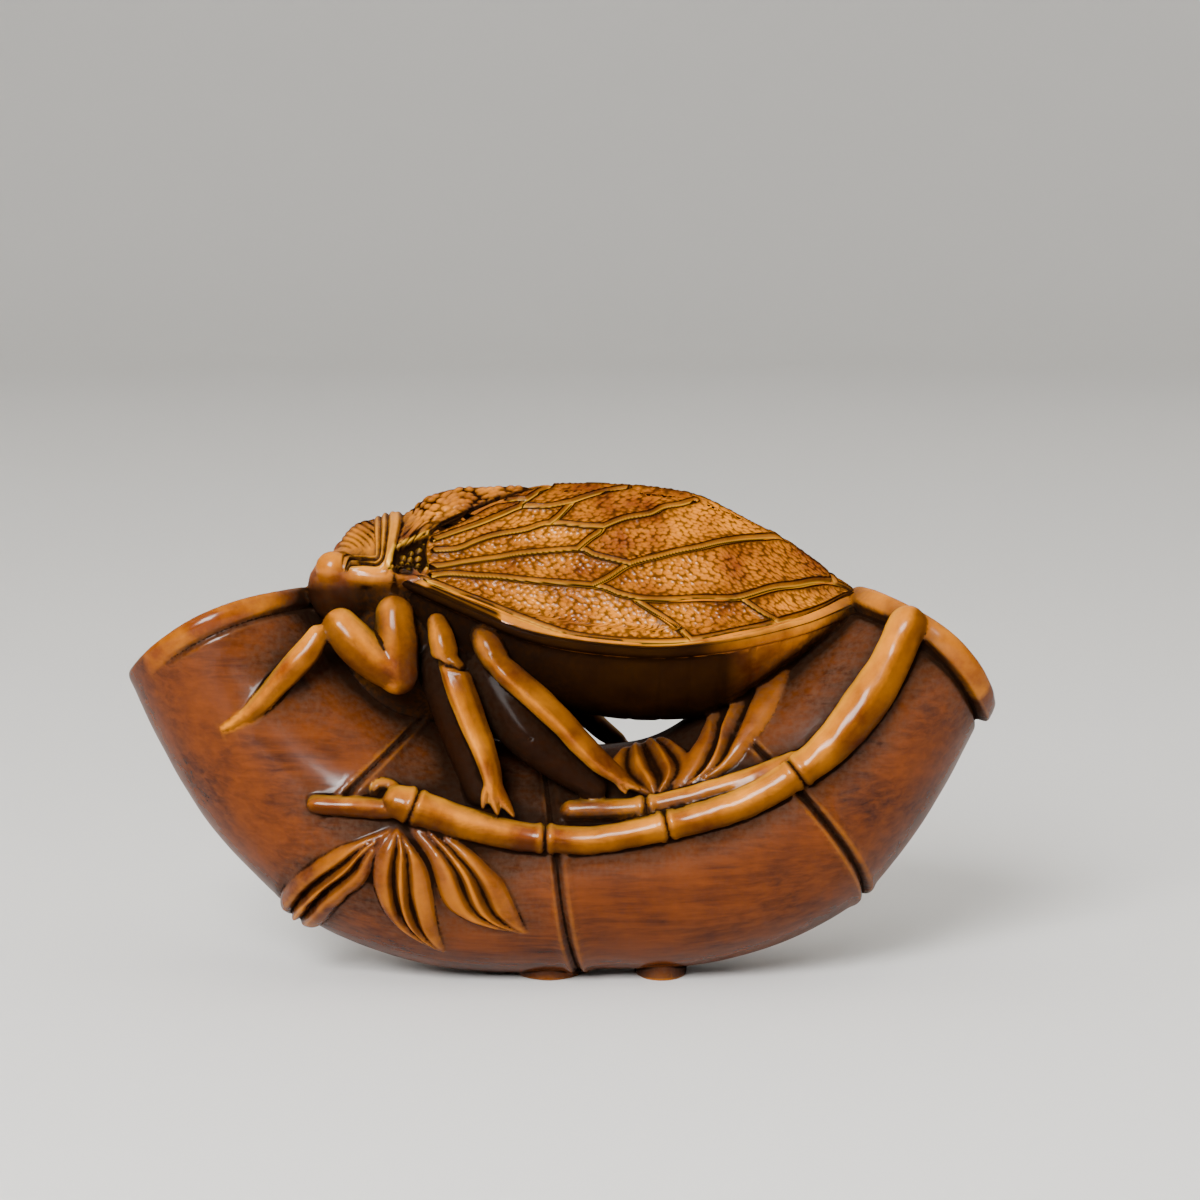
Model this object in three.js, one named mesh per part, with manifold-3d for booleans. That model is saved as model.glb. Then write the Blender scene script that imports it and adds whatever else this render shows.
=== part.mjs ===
// A carved wooden cicada that clings to a short, smile-curved culm of bamboo, all one piece of wood.
// Millimetres, +Z up. X runs along the culm with the cicada's head at -X, and -Y is the side with
// the twig that has three leaves at its end.
import * as THREE from 'three';
import { mergeVertices } from 'three/addons/utils/BufferGeometryUtils.js';
import Module from 'manifold-3d';

// The culm: its rings from the left rim to the right rim. x and z are the ring's centre, lean its
// slope in degrees, high and deep its half widths in the X-Z plane and along Y.
const RINGS = [
  { x: -25.8, z: 25.5, lean: -64, high: 7.85, deep: 8.0 },
  { x: -15.7, z: 13.0, lean: -37, high: 9.3, deep: 9.8 },
  { x: -0.2, z: 9.25, lean: 9, high: 8.8, deep: 10.2 },
  { x: 17.0, z: 13.6, lean: 38, high: 9.6, deep: 10.0 },
  { x: 28.1, z: 25.5, lean: 48, high: 6.4, deep: 7.5 },
];
const SPAN = 16.6; // length of culm counted from one ring to the next
const CULM_SIDES = 24;
const BOW = 1.2; // how far the rings bow outward on both sides, and on the twig's side only
const SKEW = 0.9;
const DISH = { depth: 1.7, wall: 1.1 };
const LEFT_BAND = { wide: 1.4, groove: 0.35 };
const RIGHT_BAND = { wide: 2.1, proud: 0.7, start: 64.4 };
const SAG = { at: 2.4, wide: 0.35, all: 0.45, inner: 0.8 }; // the span right of the middle hangs lower
const NODE = { groove: 0.35, ridge: 0.3, apart: 0.95, foot: 1.8 };
const FEET = [
  { x: -1.1, long: 5.0 },
  { x: 7.6, long: 4.0 },
];
const FOOT = { deep: 7.6, high: 1.6 };

// The cicada: profiles along x, each a short list of [x, size].
const RIDGE = [[-13, 35], [-9.8, 37.3], [-4, 37.9], [3, 38.1], [9.8, 37.4], [13.7, 35.9], [17.5, 33.8], [23, 29.6]];
const MARGIN = [[-12.7, 31.7], [-6.4, 29.1], [-2.5, 27.6], [3, 26.7], [9, 26.5], [18.3, 27.9], [23, 29.2]];
const WIDTH = [[-12.7, 6.8], [-6.4, 8.7], [3, 10.1], [9, 10], [13.7, 9], [18.3, 6.6], [23, 2.2]];
const BELLY = [[-13, 25], [-8, 22.3], [3, 20.2], [8, 20], [12, 20.6], [17, 24], [23, 28]];
const WING_ARCH = 0.74;
const WING_LIP = 0.8;
const WING_START = -12.6;
const WING_END = 23;
const VEIN = 0.34;
const WING_GAP = { near: 0.15, parted: 0.45, deep: 0.9 };
const EYE = { x: -17.1, y: 5.4, z: 32.2, radius: 1.5 };
const HEAD_TURN = 0.14; // the head looks a little to the twig's side

// The wing's veins: [x along the wing, share of the way down from the ridge to the margin].
const VEINS = [
  [[-9.5, 0.5], [-4.8, 0.19], [-0.9, 0.03]],
  [[-9.5, 0.54], [-7, 0.33], [-3.1, 0.14], [0.7, 0.13], [4.7, 0.03]],
  [[-9.5, 0.58], [-4.8, 0.36], [-0.9, 0.27], [3.1, 0.28], [7.2, 0.14], [10.3, 0.05]],
  [[-9.5, 0.69], [-5.4, 0.54], [-2.2, 0.46], [1.2, 0.43], [5.2, 0.49]],
  [[2.2, 0.64], [5.2, 0.5], [10.4, 0.35], [13.4, 0.25], [16.4, 0.07]],
  [[-9.2, 0.81], [-4.1, 0.68], [0.3, 0.64], [5.7, 0.7], [13.8, 0.66], [18, 0.5], [20.4, 0.3]],
  [[-10.1, 0.86], [-6, 0.9], [-2.1, 0.9], [9, 0.93], [16.5, 0.88], [20.3, 0.6]],
];

// Legs of the twig's side, each a list of [x, y, z, radius] from the body to the foot.
const LEGS = [
  [[-13, -5.5, 29.2, 2.0], [-12.8, -7.4, 25.6, 2.2], [-12.8, -7.6, 22.6, 1.7]],
  [[-12.9, -7.6, 22.8, 1.7], [-15.4, -8, 25.9, 1.7], [-17.8, -8, 28.9, 1.3]],
  [[-18, -8.3, 28.2, 1.3], [-21, -8.5, 25, 1.1], [-23.1, -8.4, 22.9, 0.8], [-24.9, -8.3, 21.2, 0.4]],
  [[-9.7, -6.5, 29, 0.9], [-9, -8.2, 26.3, 1.4], [-8.8, -8.5, 24.6, 1.3]],
  [[-8.9, -8.6, 25.2, 1.4], [-7.1, -9.5, 20.1, 1.1], [-5.4, -9.9, 15.5, 0.8], [-4.6, -10.1, 13.6, 0.7]],
  [[-6.5, -6.5, 27.5, 1.1], [-5.2, -8.3, 25.4, 1.4]],
  [[-4.9, -8.6, 25.4, 1.2], [-0.6, -9.6, 20.5, 1.0], [3.5, -9.6, 17, 0.95], [6, -9.5, 15.1, 0.7]],
];
// Wood left standing between the two long legs and the culm.
const WEBS = [
  [[-9.3, -5.5, 24.5, 2.2], [-7.8, -7.5, 19, 1.6], [-6.3, -8.4, 15, 1.3]],
  [[-6, -5.5, 23.8, 2.5], [-3, -7.5, 18.9, 1.9], [2.4, -8.4, 15, 1.1]],
];
const CLAWS = [
  { at: [-4.6, -10.1, 13.6], tips: [[-6.2, -10.2, 12.8], [-4.8, -10.7, 12.1], [-3.3, -10.6, 12.2]] },
  { at: [6, -9.5, 15.1], tips: [[5.2, -10, 13.7], [6.8, -10.3, 13.6], [8, -9.6, 14.4]] },
];

// Twig and leaves, laid on the culm as [distance along it, degrees round it from its inner side].
const TWIG = [[65, 64], [61.6, 73], [58.7, 77], [54.5, 79], [50.7, 77], [45, 73], [36.6, 75], [28.9, 68],
  [24.6, 64], [20, 67]];
const TWIG_RADIUS = [1.6, 1.6, 1.75, 1.6, 1.4, 1.25, 1.15, 1.2, 1.2, 1.1];
const TWIG_NODES = [50.6, 40.3, 32.6, 21.5];
const BRANCH = [[51, 73], [46.6, 65], [39.4, 60], [34.5, 58]];
const STUB = [[20.6, 69], [18, 79], [15.4, 93]];
const HOOK = [[20.2, 68], [18.6, 66], [18.2, 71], [19, 75]];
const LEAVES = [
  { upper: [[21, 80], [18.6, 102], [17.3, 128], [16.7, 160]], lower: [[21, 80], [21.4, 99], [20.4, 124], [16.7, 160]] },
  { upper: [[21.2, 79], [20.8, 96], [22.5, 120], [26.2, 138]], lower: [[21.2, 79], [24.1, 91], [25.4, 112], [26.2, 138]] },
  { upper: [[21.7, 76], [25.1, 74], [29.2, 90], [30.9, 120]], lower: [[21.7, 76], [24.3, 88], [26.4, 109], [30.9, 120]] },
  { upper: [[40.7, 56], [43.6, 36], [51, 17], [59.6, 19]], lower: [[40.7, 56], [48, 55], [54, 44], [59.6, 19]] },
];
const FAN = { upper: [[39.9, 56], [37.2, 38], [38.4, 10]], lower: [[39.9, 56], [43.4, 42], [41.6, 8]] };
const FAR_TWIG = [[62, -62], [54, -74], [45, -76], [34, -70], [25, -72]];
const FAR_TWIG_NODES = [50.6, 38, 28];
const FAR_LEAVES = [
  { upper: [[26, -73], [22.5, -70], [18, -92], [14.5, -112]], lower: [[26, -73], [25.5, -96], [21, -116], [14.5, -112]] },
  { upper: [[27, -74], [29.5, -78], [31, -100], [27, -128]], lower: [[27, -74], [24.5, -92], [24.5, -116], [27, -128]] },
];
const LEAF = { rim: 0.85, channel: 0.3, rib: 0.8, buried: 0.8 };
const LEAF_SECTION = ['buried', 'rim', 'channel', 'rib', 'channel', 'rim', 'buried'];

const WOOD = { color: 0xb0662a, roughness: 0.38, metalness: 0 };
const SMALLEST = 0.38; // detail below this is left out of the solid
const RADIAN = Math.PI / 180;

const wasm = await Module();
wasm.setup();

// A smooth curve through a few [x, y] points, as a function of x.
function through(points) {
  const last = points.length - 1;
  const slope = points.map((point, i) => {
    const before = points[Math.max(i - 1, 0)];
    const after = points[Math.min(i + 1, last)];
    return (after[1] - before[1]) / (after[0] - before[0]);
  });
  return (x) => {
    if (x <= points[0][0]) return points[0][1];
    if (x >= points[last][0]) return points[last][1];
    const i = points.findIndex((point) => point[0] > x) - 1;
    const [x0, y0] = points[i];
    const [x1, y1] = points[i + 1];
    const wide = x1 - x0;
    const t = (x - x0) / wide;
    return y0 * (1 + 2 * t) * (1 - t) ** 2 + slope[i] * wide * t * (1 - t) ** 2
      + y1 * t * t * (3 - 2 * t) + slope[i + 1] * wide * t * t * (t - 1);
  };
}

// A closed three.js geometry as a manifold solid, turned the right way out.
function solid(geometry) {
  geometry.deleteAttribute('normal');
  geometry.deleteAttribute('uv');
  const merged = mergeVertices(geometry, 1e-4);
  const place = merged.attributes.position;
  const corner = Array.from(merged.index.array);
  const a = new THREE.Vector3();
  const b = new THREE.Vector3();
  const c = new THREE.Vector3();
  const triangles = [];
  let volume = 0;
  for (let i = 0; i < corner.length; i += 3) {
    const [p, q, r] = corner.slice(i, i + 3);
    if (p === q || q === r || r === p) continue;
    volume += a.fromBufferAttribute(place, p).dot(b.fromBufferAttribute(place, q)
      .cross(c.fromBufferAttribute(place, r)));
    triangles.push([p, q, r]);
  }
  const turned = volume < 0 ? triangles.map(([p, q, r]) => [p, r, q]) : triangles;
  return new wasm.Manifold(new wasm.Mesh({
    numProp: 3,
    vertProperties: new Float32Array(place.array),
    triVerts: new Uint32Array(turned.flat()),
  }));
}

// A closed skin of rows with the same number of points, each put in place by place(row, point, share).
// share is 1 on the skin and 0 in the middle of its two ends.
function skin(rows, sides, place) {
  const shape = new THREE.CylinderGeometry(1, 1, 1, sides, rows - 1);
  const at = shape.attributes.position;
  for (let n = 0; n < at.count; n++) {
    const turn = (Math.atan2(at.getX(n), at.getZ(n)) / (2 * Math.PI) + 1) % 1;
    const row = Math.round((0.5 - at.getY(n)) * (rows - 1));
    const share = Math.round(Math.hypot(at.getX(n), at.getZ(n)));
    const p = place(row, Math.round(turn * sides) % sides, share);
    at.setXYZ(n, p.x, p.y, p.z);
  }
  return solid(shape);
}

// A rod with rounded ends along points, with a radius at each point, widened by swell(t).
function rod(points, radii, sides, steps, swell = () => 1) {
  const curve = new THREE.CatmullRomCurve3(points, false, 'centripetal');
  const last = points.length - 1;
  const up = new THREE.Vector3(0.3, 0.9, 0.2);
  return skin(steps + 3, sides, (row, side, share) => {
    const t = Math.min(Math.max((row - 1) / steps, 0), 1);
    const end = row === 0 ? -1 : row === steps + 2 ? 1 : 0;
    const i = Math.min(Math.floor(t * last), last - 1);
    const radius = THREE.MathUtils.lerp(radii[i], radii[i + 1], t * last - i) * swell(t);
    const along = curve.getTangent(t);
    const across = new THREE.Vector3().crossVectors(along, up).normalize();
    const over = new THREE.Vector3().crossVectors(across, along);
    const angle = (2 * Math.PI * (side + 0.5)) / sides;
    const round = share * radius * (end ? 0.6 : 1);
    return curve.getPoint(t).addScaledVector(along, end * radius * 0.5)
      .addScaledVector(across, round * Math.cos(angle)).addScaledVector(over, round * Math.sin(angle));
  });
}

function ball(x, y, z, [long, deep, high], around = 16, rows = 10) {
  const shape = new THREE.SphereGeometry(1, around, rows);
  shape.rotateX(Math.PI / 2);
  shape.scale(long, deep, high);
  shape.translate(x, y, z);
  return solid(shape);
}

// A four-sided spike from a foot out to its tip.
function spike(foot, tip, radius) {
  const way = tip.clone().sub(foot);
  const shape = new THREE.ConeGeometry(radius, way.length() + 0.3, 4);
  shape.applyQuaternion(new THREE.Quaternion().setFromUnitVectors(new THREE.Vector3(0, 1, 0), way.clone().normalize()));
  shape.translate(...foot.clone().lerp(tip, 0.5).toArray());
  return solid(shape);
}

// The culm's axis: one Bezier curve from each ring to the next.
const slopes = RINGS.map((ring) => new THREE.Vector3(Math.cos(ring.lean * RADIAN), 0, Math.sin(ring.lean * RADIAN)));
const centres = RINGS.map((ring) => new THREE.Vector3(ring.x, 0, ring.z));
const spans = centres.slice(1).map((centre, i) => {
  const reach = centre.distanceTo(centres[i]) / 3;
  return new THREE.CubicBezierCurve3(centres[i], centres[i].clone().addScaledVector(slopes[i], reach),
    centre.clone().addScaledVector(slopes[i + 1], -reach), centre);
});
const highAt = through(RINGS.map((ring, i) => [i * SPAN, ring.high]));
const deepAt = through(RINGS.map((ring, i) => [i * SPAN, ring.deep]));

// A point of the culm: s along it, angle round it from its inner side toward -Y, share of the way
// out from its axis, and proud of its skin.
function onCulm(s, angle, proud = 0, share = 1) {
  const side = Math.sin(angle);
  const outward = Math.min(Math.max(s / SPAN - 2, -1), 1);
  const at = s + outward * (BOW * side * side + SKEW * side) * share;
  const i = Math.min(Math.max(Math.floor(at / SPAN), 0), spans.length - 1);
  const t = Math.min(Math.max(at / SPAN - i, 0), 1);
  const along = spans[i].getTangent(t);
  const centre = spans[i].getPoint(t).addScaledVector(along, at - (i + t) * SPAN);
  const sag = Math.exp(-(((at / SPAN - SAG.at) / SAG.wide) ** 2));
  centre.z -= SAG.all * sag;
  const hollow = SAG.inner * sag * Math.max(Math.cos(angle), 0) ** 2;
  const high = (highAt(at) - hollow) * share + proud;
  const deep = deepAt(at) * share + proud;
  return new THREE.Vector3(-along.z, 0, along.x).multiplyScalar(high * Math.cos(angle)).add(centre)
    .add(new THREE.Vector3(0, -deep * side, 0));
}

// The culm from end to end: dished ends, a band at each rim and three node rings.
function makeCulm() {
  const rows = [];
  const left = -LEFT_BAND.wide;
  const right = RIGHT_BAND.start + RIGHT_BAND.wide;
  const rim = RIGHT_BAND.proud;
  rows.push([left + DISH.depth, 0, 0.5], [left + DISH.depth * 0.6, 0, 0.8], [left, -DISH.wall, 1], [left - 0.1, -0.4, 1]);
  rows.push([left + 0.5, 0, 1], [-0.2, 0, 1], [0.15, -LEFT_BAND.groove, 1], [0.6, -0.05, 1]);
  for (let ring = 1; ring <= 3; ring++) {
    const s = ring * SPAN;
    rows.push([s - SPAN * 0.68, 0, 1], [s - SPAN * 0.37, 0, 1], [s - NODE.foot, 0, 1], [s - NODE.apart, NODE.ridge, 1]);
    rows.push([s, -NODE.groove, 1], [s + NODE.apart, NODE.ridge, 1], [s + NODE.foot, 0, 1]);
  }
  rows.push([3.35 * SPAN, 0, 1], [3.65 * SPAN, 0, 1], [RIGHT_BAND.start, -0.3, 1]);
  rows.push([RIGHT_BAND.start + 0.4, rim * 0.8, 1], [right - 0.8, rim, 1]);
  rows.push([right, rim * 0.2, 1], [right, -DISH.wall * 0.7, 1], [right - DISH.depth * 0.6, 0, 0.72]);
  rows.push([right - DISH.depth, 0, 0.4]);
  return skin(rows.length, CULM_SIDES, (row, side, share) => {
    const [s, proud, out] = rows[row];
    return onCulm(s, (2 * Math.PI * side) / CULM_SIDES, proud * share, out * share);
  });
}

function makeFeet() {
  return FEET.map((foot) => {
    const shape = new THREE.CylinderGeometry(1.1, 1, FOOT.high, 14);
    shape.rotateX(Math.PI / 2);
    shape.scale(foot.long / 2, FOOT.deep / 2, 1);
    shape.translate(foot.x, 0, FOOT.high / 2);
    return solid(shape);
  });
}

// The cicada's roof of wings: x along it, share of the way down, and side -1 for the twig's side.
const ridgeAt = through(RIDGE);
const marginAt = through(MARGIN);
const widthAt = through(WIDTH);
const bellyAt = through(BELLY);
function onWing(x, share, side, proud = 0) {
  const drop = ridgeAt(x) - marginAt(x);
  return new THREE.Vector3(x, side * (widthAt(x) * share ** WING_ARCH + proud * 0.7), ridgeAt(x) - drop * share + proud * 0.7);
}

// One half of the body's section at x, from the ridge down to the belly.
function bodyHalf(x, side) {
  const margin = marginAt(x);
  const wide = widthAt(x);
  const belly = bellyAt(x);
  const parting = THREE.MathUtils.smoothstep(x, 8, 18);
  const roof = [0.3, 0.65, 1].map((share) => onWing(x, share, side));
  roof.unshift(new THREE.Vector3(x, side * (WING_GAP.near + WING_GAP.parted * parting), ridgeAt(x)));
  const below = [[wide - 0.1, margin - WING_LIP], [wide - 0.8, margin - WING_LIP - 0.1],
    [wide * 0.84, THREE.MathUtils.lerp(margin, belly, 0.55)], [wide * 0.5, THREE.MathUtils.lerp(margin, belly, 0.94)]];
  return {
    top: new THREE.Vector3(x, 0, ridgeAt(x) - 0.15 - WING_GAP.deep * parting),
    flank: roof.concat(below.map(([y, z]) => new THREE.Vector3(x, side * Math.max(y, 0.2), z))),
    bottom: new THREE.Vector3(x, 0, belly),
  };
}

function makeBody() {
  const rows = 15;
  const loops = [];
  for (let row = 0; row < rows; row++) {
    const x = THREE.MathUtils.lerp(WING_START, WING_END, row / (rows - 1));
    const near = bodyHalf(x, -1);
    const far = bodyHalf(x, 1);
    loops.push([near.top, ...near.flank, near.bottom, ...far.flank.reverse()]);
  }
  return skin(rows, loops[0].length, (row, side, share) => {
    const middle = new THREE.Vector3(loops[row][0].x, 0, (ridgeAt(loops[row][0].x) + bellyAt(loops[row][0].x)) / 2);
    return middle.lerp(loops[row][side], share);
  });
}

function makeVeins() {
  return [-1, 1].flatMap((side) => VEINS.slice(side < 0 ? 0 : 3).map((vein) => {
    const points = vein.map(([x, share]) => onWing(x, share, side));
    const radii = points.map((point, i) => (i === points.length - 1 ? VEIN * 0.6 : VEIN));
    return rod(points, radii, 4, points.length);
  }));
}

function makeHead() {
  const forms = [
    ball(-14.9, 0, 31.5, [2.8, 5.0, 3.7], 12, 8),
    ball(-16.5, 0, 29.6, [3.4, 4.4, 3.4], 12, 8),
    ball(-12.9, 0, 30.4, [3.6, 7.0, 5.3], 16, 10),
    ball(-8.9, 0, 31.6, [4.7, 6.9, 5.9], 16, 10),
    ball(-12, 0, 25.6, [6.2, 6.4, 6.6], 12, 8),
  ];
  for (const side of [-1, 1]) {
    const x = EYE.x + HEAD_TURN * side * EYE.y;
    forms.push(ball(x, side * EYE.y, EYE.z, [EYE.radius, EYE.radius, EYE.radius], 10, 6));
    forms.push(ball(x + 1.2, side * (EYE.y - 1.3), EYE.z - 0.4, [1.8, 1.6, 1.8], 8, 4));
  }
  // Collars that bend forward round the pronotum.
  for (const collar of [{ x: -14.3, grow: 0 }, { x: -13.4, grow: 0.15 }, { x: -12.2, grow: 0.3 }]) {
    const points = [];
    for (let degrees = -96; degrees <= 96; degrees += 24) {
      const turn = degrees * RADIAN;
      points.push(new THREE.Vector3(collar.x - 0.9 * Math.abs(turn) ** 2, (6.9 + collar.grow) * Math.sin(turn),
        29.9 + (5.5 + collar.grow) * Math.cos(turn)));
    }
    forms.push(rod(points, points.map(() => 0.42), 4, 8));
  }
  return forms;
}

function makeLegs() {
  const forms = [];
  for (const side of [-1, 1]) {
    const put = ([x, y, z]) => new THREE.Vector3(x, -side * y, z);
    for (const leg of LEGS) forms.push(rod(leg.map(put), leg.map((joint) => joint[3]), 6, leg.length - 1));
    for (const web of WEBS) forms.push(rod(web.map(put), web.map((joint) => joint[3]), 5, 2));
    for (const claw of CLAWS) {
      for (const tip of claw.tips) forms.push(spike(put(claw.at), put(tip), 0.6));
    }
  }
  return forms;
}

// A rod laid on the culm, with rings at its nodes.
function makeTwig(route, radii, nodes, sides, steps) {
  const points = route.map(([s, degrees], i) => onCulm(s, degrees * RADIAN, radii[i] * 0.45));
  const last = route.length - 1;
  const swell = (t) => {
    const i = Math.min(Math.floor(t * last), last - 1);
    const s = THREE.MathUtils.lerp(route[i][0], route[i + 1][0], t * last - i);
    return 1 + 0.28 * Math.max(0, ...nodes.map((node) => 1 - Math.abs(s - node) / 1.3));
  };
  return rod(points, radii, sides, steps, swell);
}

// A leaf laid on the culm between two edges: raised rims and midrib with a channel on each side.
function makeLeaf({ upper, lower }, rows = 7, fold = LEAF_SECTION) {
  const edge = (route) => new THREE.CatmullRomCurve3(route.map(([s, degrees]) => new THREE.Vector3(s, degrees, 0)));
  const edges = [edge(upper), edge(lower)];
  const across = fold.length;
  return skin(rows, across + 1, (row, point, share) => {
    const t = 0.02 + (0.96 * row) / (rows - 1);
    const [p, q] = edges.map((curve) => curve.getPoint(t));
    const bottom = point === across || share === 0;
    const place = bottom ? 0.5 : Math.min(Math.max((point - 1) / (across - 3), 0), 1);
    const tall = { ...LEAF, buried: -LEAF.buried };
    const at = p.lerp(q, place);
    return onCulm(at.x, at.y * RADIAN, bottom ? -1.6 : tall[fold[point]]);
  });
}

function makePlants() {
  const fan = ['buried', 'rim', 'channel', 'rib', 'channel', 'rib', 'channel', 'rim', 'buried'];
  const forms = [
    makeTwig(TWIG, TWIG_RADIUS, TWIG_NODES, 6, 22),
    makeTwig(BRANCH, [0.9, 0.8, 0.8, 0.8], [39.2], 5, 7),
    makeTwig(STUB, [1.0, 0.9, 0.8], [], 5, 3),
    makeTwig(HOOK, [0.9, 0.8, 0.75, 0.6], [], 5, 4),
    makeTwig(FAR_TWIG, FAR_TWIG.map(() => 1.3), FAR_TWIG_NODES, 6, 11),
    makeLeaf(FAN, 6, fan),
  ];
  for (const leaf of [...LEAVES, ...FAR_LEAVES]) forms.push(makeLeaf(leaf));
  return forms;
}

// One piece of wood: every form joined, then put with the middle of its underside at the origin.
function makeCarving() {
  const forms = [makeCulm(), ...makeFeet(), makeBody(), ...makeVeins(), ...makeHead(), ...makeLegs(), ...makePlants()];
  const shells = wasm.Manifold.union(forms).simplify(SMALLEST).decompose();
  const joined = shells.sort((a, b) => b.volume() - a.volume())[0].getMesh();
  const geometry = new THREE.BufferGeometry();
  geometry.setAttribute('position', new THREE.BufferAttribute(joined.vertProperties, joined.numProp));
  geometry.setIndex(new THREE.BufferAttribute(joined.triVerts, 1));
  geometry.computeBoundingBox();
  const box = geometry.boundingBox;
  geometry.translate(-(box.min.x + box.max.x) / 2, -(box.min.y + box.max.y) / 2, -box.min.z);
  geometry.computeVertexNormals();
  return geometry;
}

const carving = new THREE.Mesh(makeCarving(), new THREE.MeshStandardMaterial(WOOD));
carving.name = 'cicada_on_bamboo';

const part = new THREE.Group();
part.add(carving);
export default part;
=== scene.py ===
# %% [markdown]
# A cicada on bamboo, carved from one block of boxwood
#
# This lesson dresses a imported CAD solid with the surface of the real carving. The real piece is a
# handful of polished wood: a cicada sits on a short culm of bamboo that is bent like a smile, and a
# leafy twig runs along one side. Everything is cut from one block. It is made as a carver would: rough
# forms first, all fused into one skin, then gouge work on top, then stain, wear and polish, with painted
# shade laid in with the stain. Only the wings are skins of their own, because they are the finest work.

# %% Load the imported model
import math
from contextlib import contextmanager

import bpy
import numpy as np
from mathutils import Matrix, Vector, bvhtree, kdtree


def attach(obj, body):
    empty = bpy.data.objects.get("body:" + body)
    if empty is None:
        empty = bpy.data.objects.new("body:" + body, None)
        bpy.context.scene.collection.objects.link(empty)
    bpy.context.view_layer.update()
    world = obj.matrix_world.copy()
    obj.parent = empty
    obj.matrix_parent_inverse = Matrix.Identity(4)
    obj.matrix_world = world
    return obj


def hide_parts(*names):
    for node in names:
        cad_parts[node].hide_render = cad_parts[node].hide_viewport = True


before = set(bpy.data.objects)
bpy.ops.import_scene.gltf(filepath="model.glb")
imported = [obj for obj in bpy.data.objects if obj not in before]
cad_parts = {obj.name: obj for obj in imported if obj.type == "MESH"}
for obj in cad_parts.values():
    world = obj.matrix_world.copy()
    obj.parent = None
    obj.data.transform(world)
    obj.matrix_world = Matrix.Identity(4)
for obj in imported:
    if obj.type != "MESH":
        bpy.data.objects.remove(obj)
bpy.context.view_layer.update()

# %% [markdown]
# The drawing and the bench
#
# The CAD was drawn in millimetres, and its middle was moved to the origin at the end. The bench works
# in the drawing's own millimetres too, because round numbers are easier to read and small sizes are
# safer to remesh. The finished piece is moved by MIDDLE and scaled to metres once, at the end.

# %% The drawing's frame
MIDDLE = (-0.041, 0.032, 0.0)  # the middle of the solid's underside in the drawing, in millimetres
METRES = 0.001


def in_metres(x, y, z):
    """A place of the drawing, in the frame's metres."""
    return tuple(METRES * (p - m) for p, m in zip((x, y, z), MIDDLE))


# %% [markdown]
# The camera
#
# The photo was taken with a long lens from just above the table: the far side of the rims shows only
# as a thin line, which puts the camera about six degrees up. A long lens keeps the proportions that
# the photo has. The image is 92.3 mm wide where the carving stands.

# %% Camera
CAMERA_RISE = math.radians(6)
CAMERA_AWAY = 0.34
VIEW_WIDE = 0.0923
AIM = (2.88, 0, 29.0)  # the place of the drawing in the middle of the picture
target = in_metres(*AIM)
back, up = CAMERA_AWAY * math.cos(CAMERA_RISE), CAMERA_AWAY * math.sin(CAMERA_RISE)
bpy.ops.object.camera_add(location=(target[0], target[1] - back, target[2] + up),
                          rotation=(math.pi / 2 - CAMERA_RISE, 0, 0))
camera = bpy.context.object
camera.name = "camera"
camera.data.sensor_width = 36
camera.data.lens = camera.data.sensor_width * CAMERA_AWAY / VIEW_WIDE
camera.data.clip_start = 0.01
bpy.context.scene.camera = camera
print("camera lens", round(camera.data.lens, 1), "mm")

# %% [markdown]
# Smooth lines through a few points
#
# A profile such as the back of the cicada is drawn with a few points and read everywhere between them.
# The same Hermite curve as in the CAD is used, so the carving keeps the solid's form.


# %% Curves and soft steps
def through(points):
    """The smooth curve through a few (x, y) points, as a function of arrays."""
    xs, ys = np.array(points, float).T
    before = np.maximum(np.arange(len(xs)) - 1, 0)
    after = np.minimum(np.arange(len(xs)) + 1, len(xs) - 1)
    slopes = (ys[after] - ys[before]) / (xs[after] - xs[before])

    def read(x):
        x = np.clip(np.asarray(x, float), xs[0], xs[-1])
        i = np.clip(np.searchsorted(xs, x, side="right") - 1, 0, len(xs) - 2)
        wide = xs[i + 1] - xs[i]
        t = (x - xs[i]) / wide
        return (ys[i] * (1 + 2 * t) * (1 - t) ** 2 + slopes[i] * wide * t * (1 - t) ** 2
                + ys[i + 1] * t * t * (3 - 2 * t) + slopes[i + 1] * wide * t * t * (t - 1))

    return read


def smoothstep(x, low, high):
    t = np.clip((np.asarray(x, float) - low) / (high - low), 0, 1)
    return t * t * (3 - 2 * t)


def hill(x, middle, wide):
    """A soft hill of height 1."""
    return np.exp(-((np.asarray(x, float) - middle) / wide) ** 2)


def smooth_route(points, step=0.1):
    """A Catmull-Rom curve through the rows of points, sampled about every step."""
    points = np.array(points, float)
    padded = np.vstack([2 * points[0] - points[1], points, 2 * points[-1] - points[-2]])
    pieces = []
    for i in range(len(points) - 1):
        a, b, c, d = padded[i:i + 4]
        n = max(2, int(np.linalg.norm(c[:3] - b[:3]) / step))
        t = np.linspace(0, 1, n, endpoint=False)[:, None]
        pieces.append(0.5 * (2 * b + (c - a) * t + (2 * a - 5 * b + 4 * c - d) * t ** 2
                             + (3 * b - a - 3 * c + d) * t ** 3))
    return np.vstack(pieces + [points[-1:]])


# %% [markdown]
# Wrapping a grid
#
# Most forms here are bent tubes, so one helper makes them all: it adds a grid, rolls it up by placing
# each point with a function of its two directions, and welds the seam and both ends. Bending in code
# is used because the bend operator needs a window, and because every form follows a measured line.
# Each point also remembers its form and its place on it, so that gouge work can find it later.

# %% The grid wrapper
BAMBOO, CICADA, TWIG, LEAF, WEB = range(5)
GOLDEN = np.array([0, 1, 0.9, 0.3, 0])  # how golden each kind of form is against red-brown
bench, kinds, numbers = [], [], {}  # the forms, the kind of each, and its number by name


@contextmanager
def edit_mode():
    bpy.ops.object.mode_set(mode="EDIT")
    yield
    bpy.ops.object.mode_set(mode="OBJECT")


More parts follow.
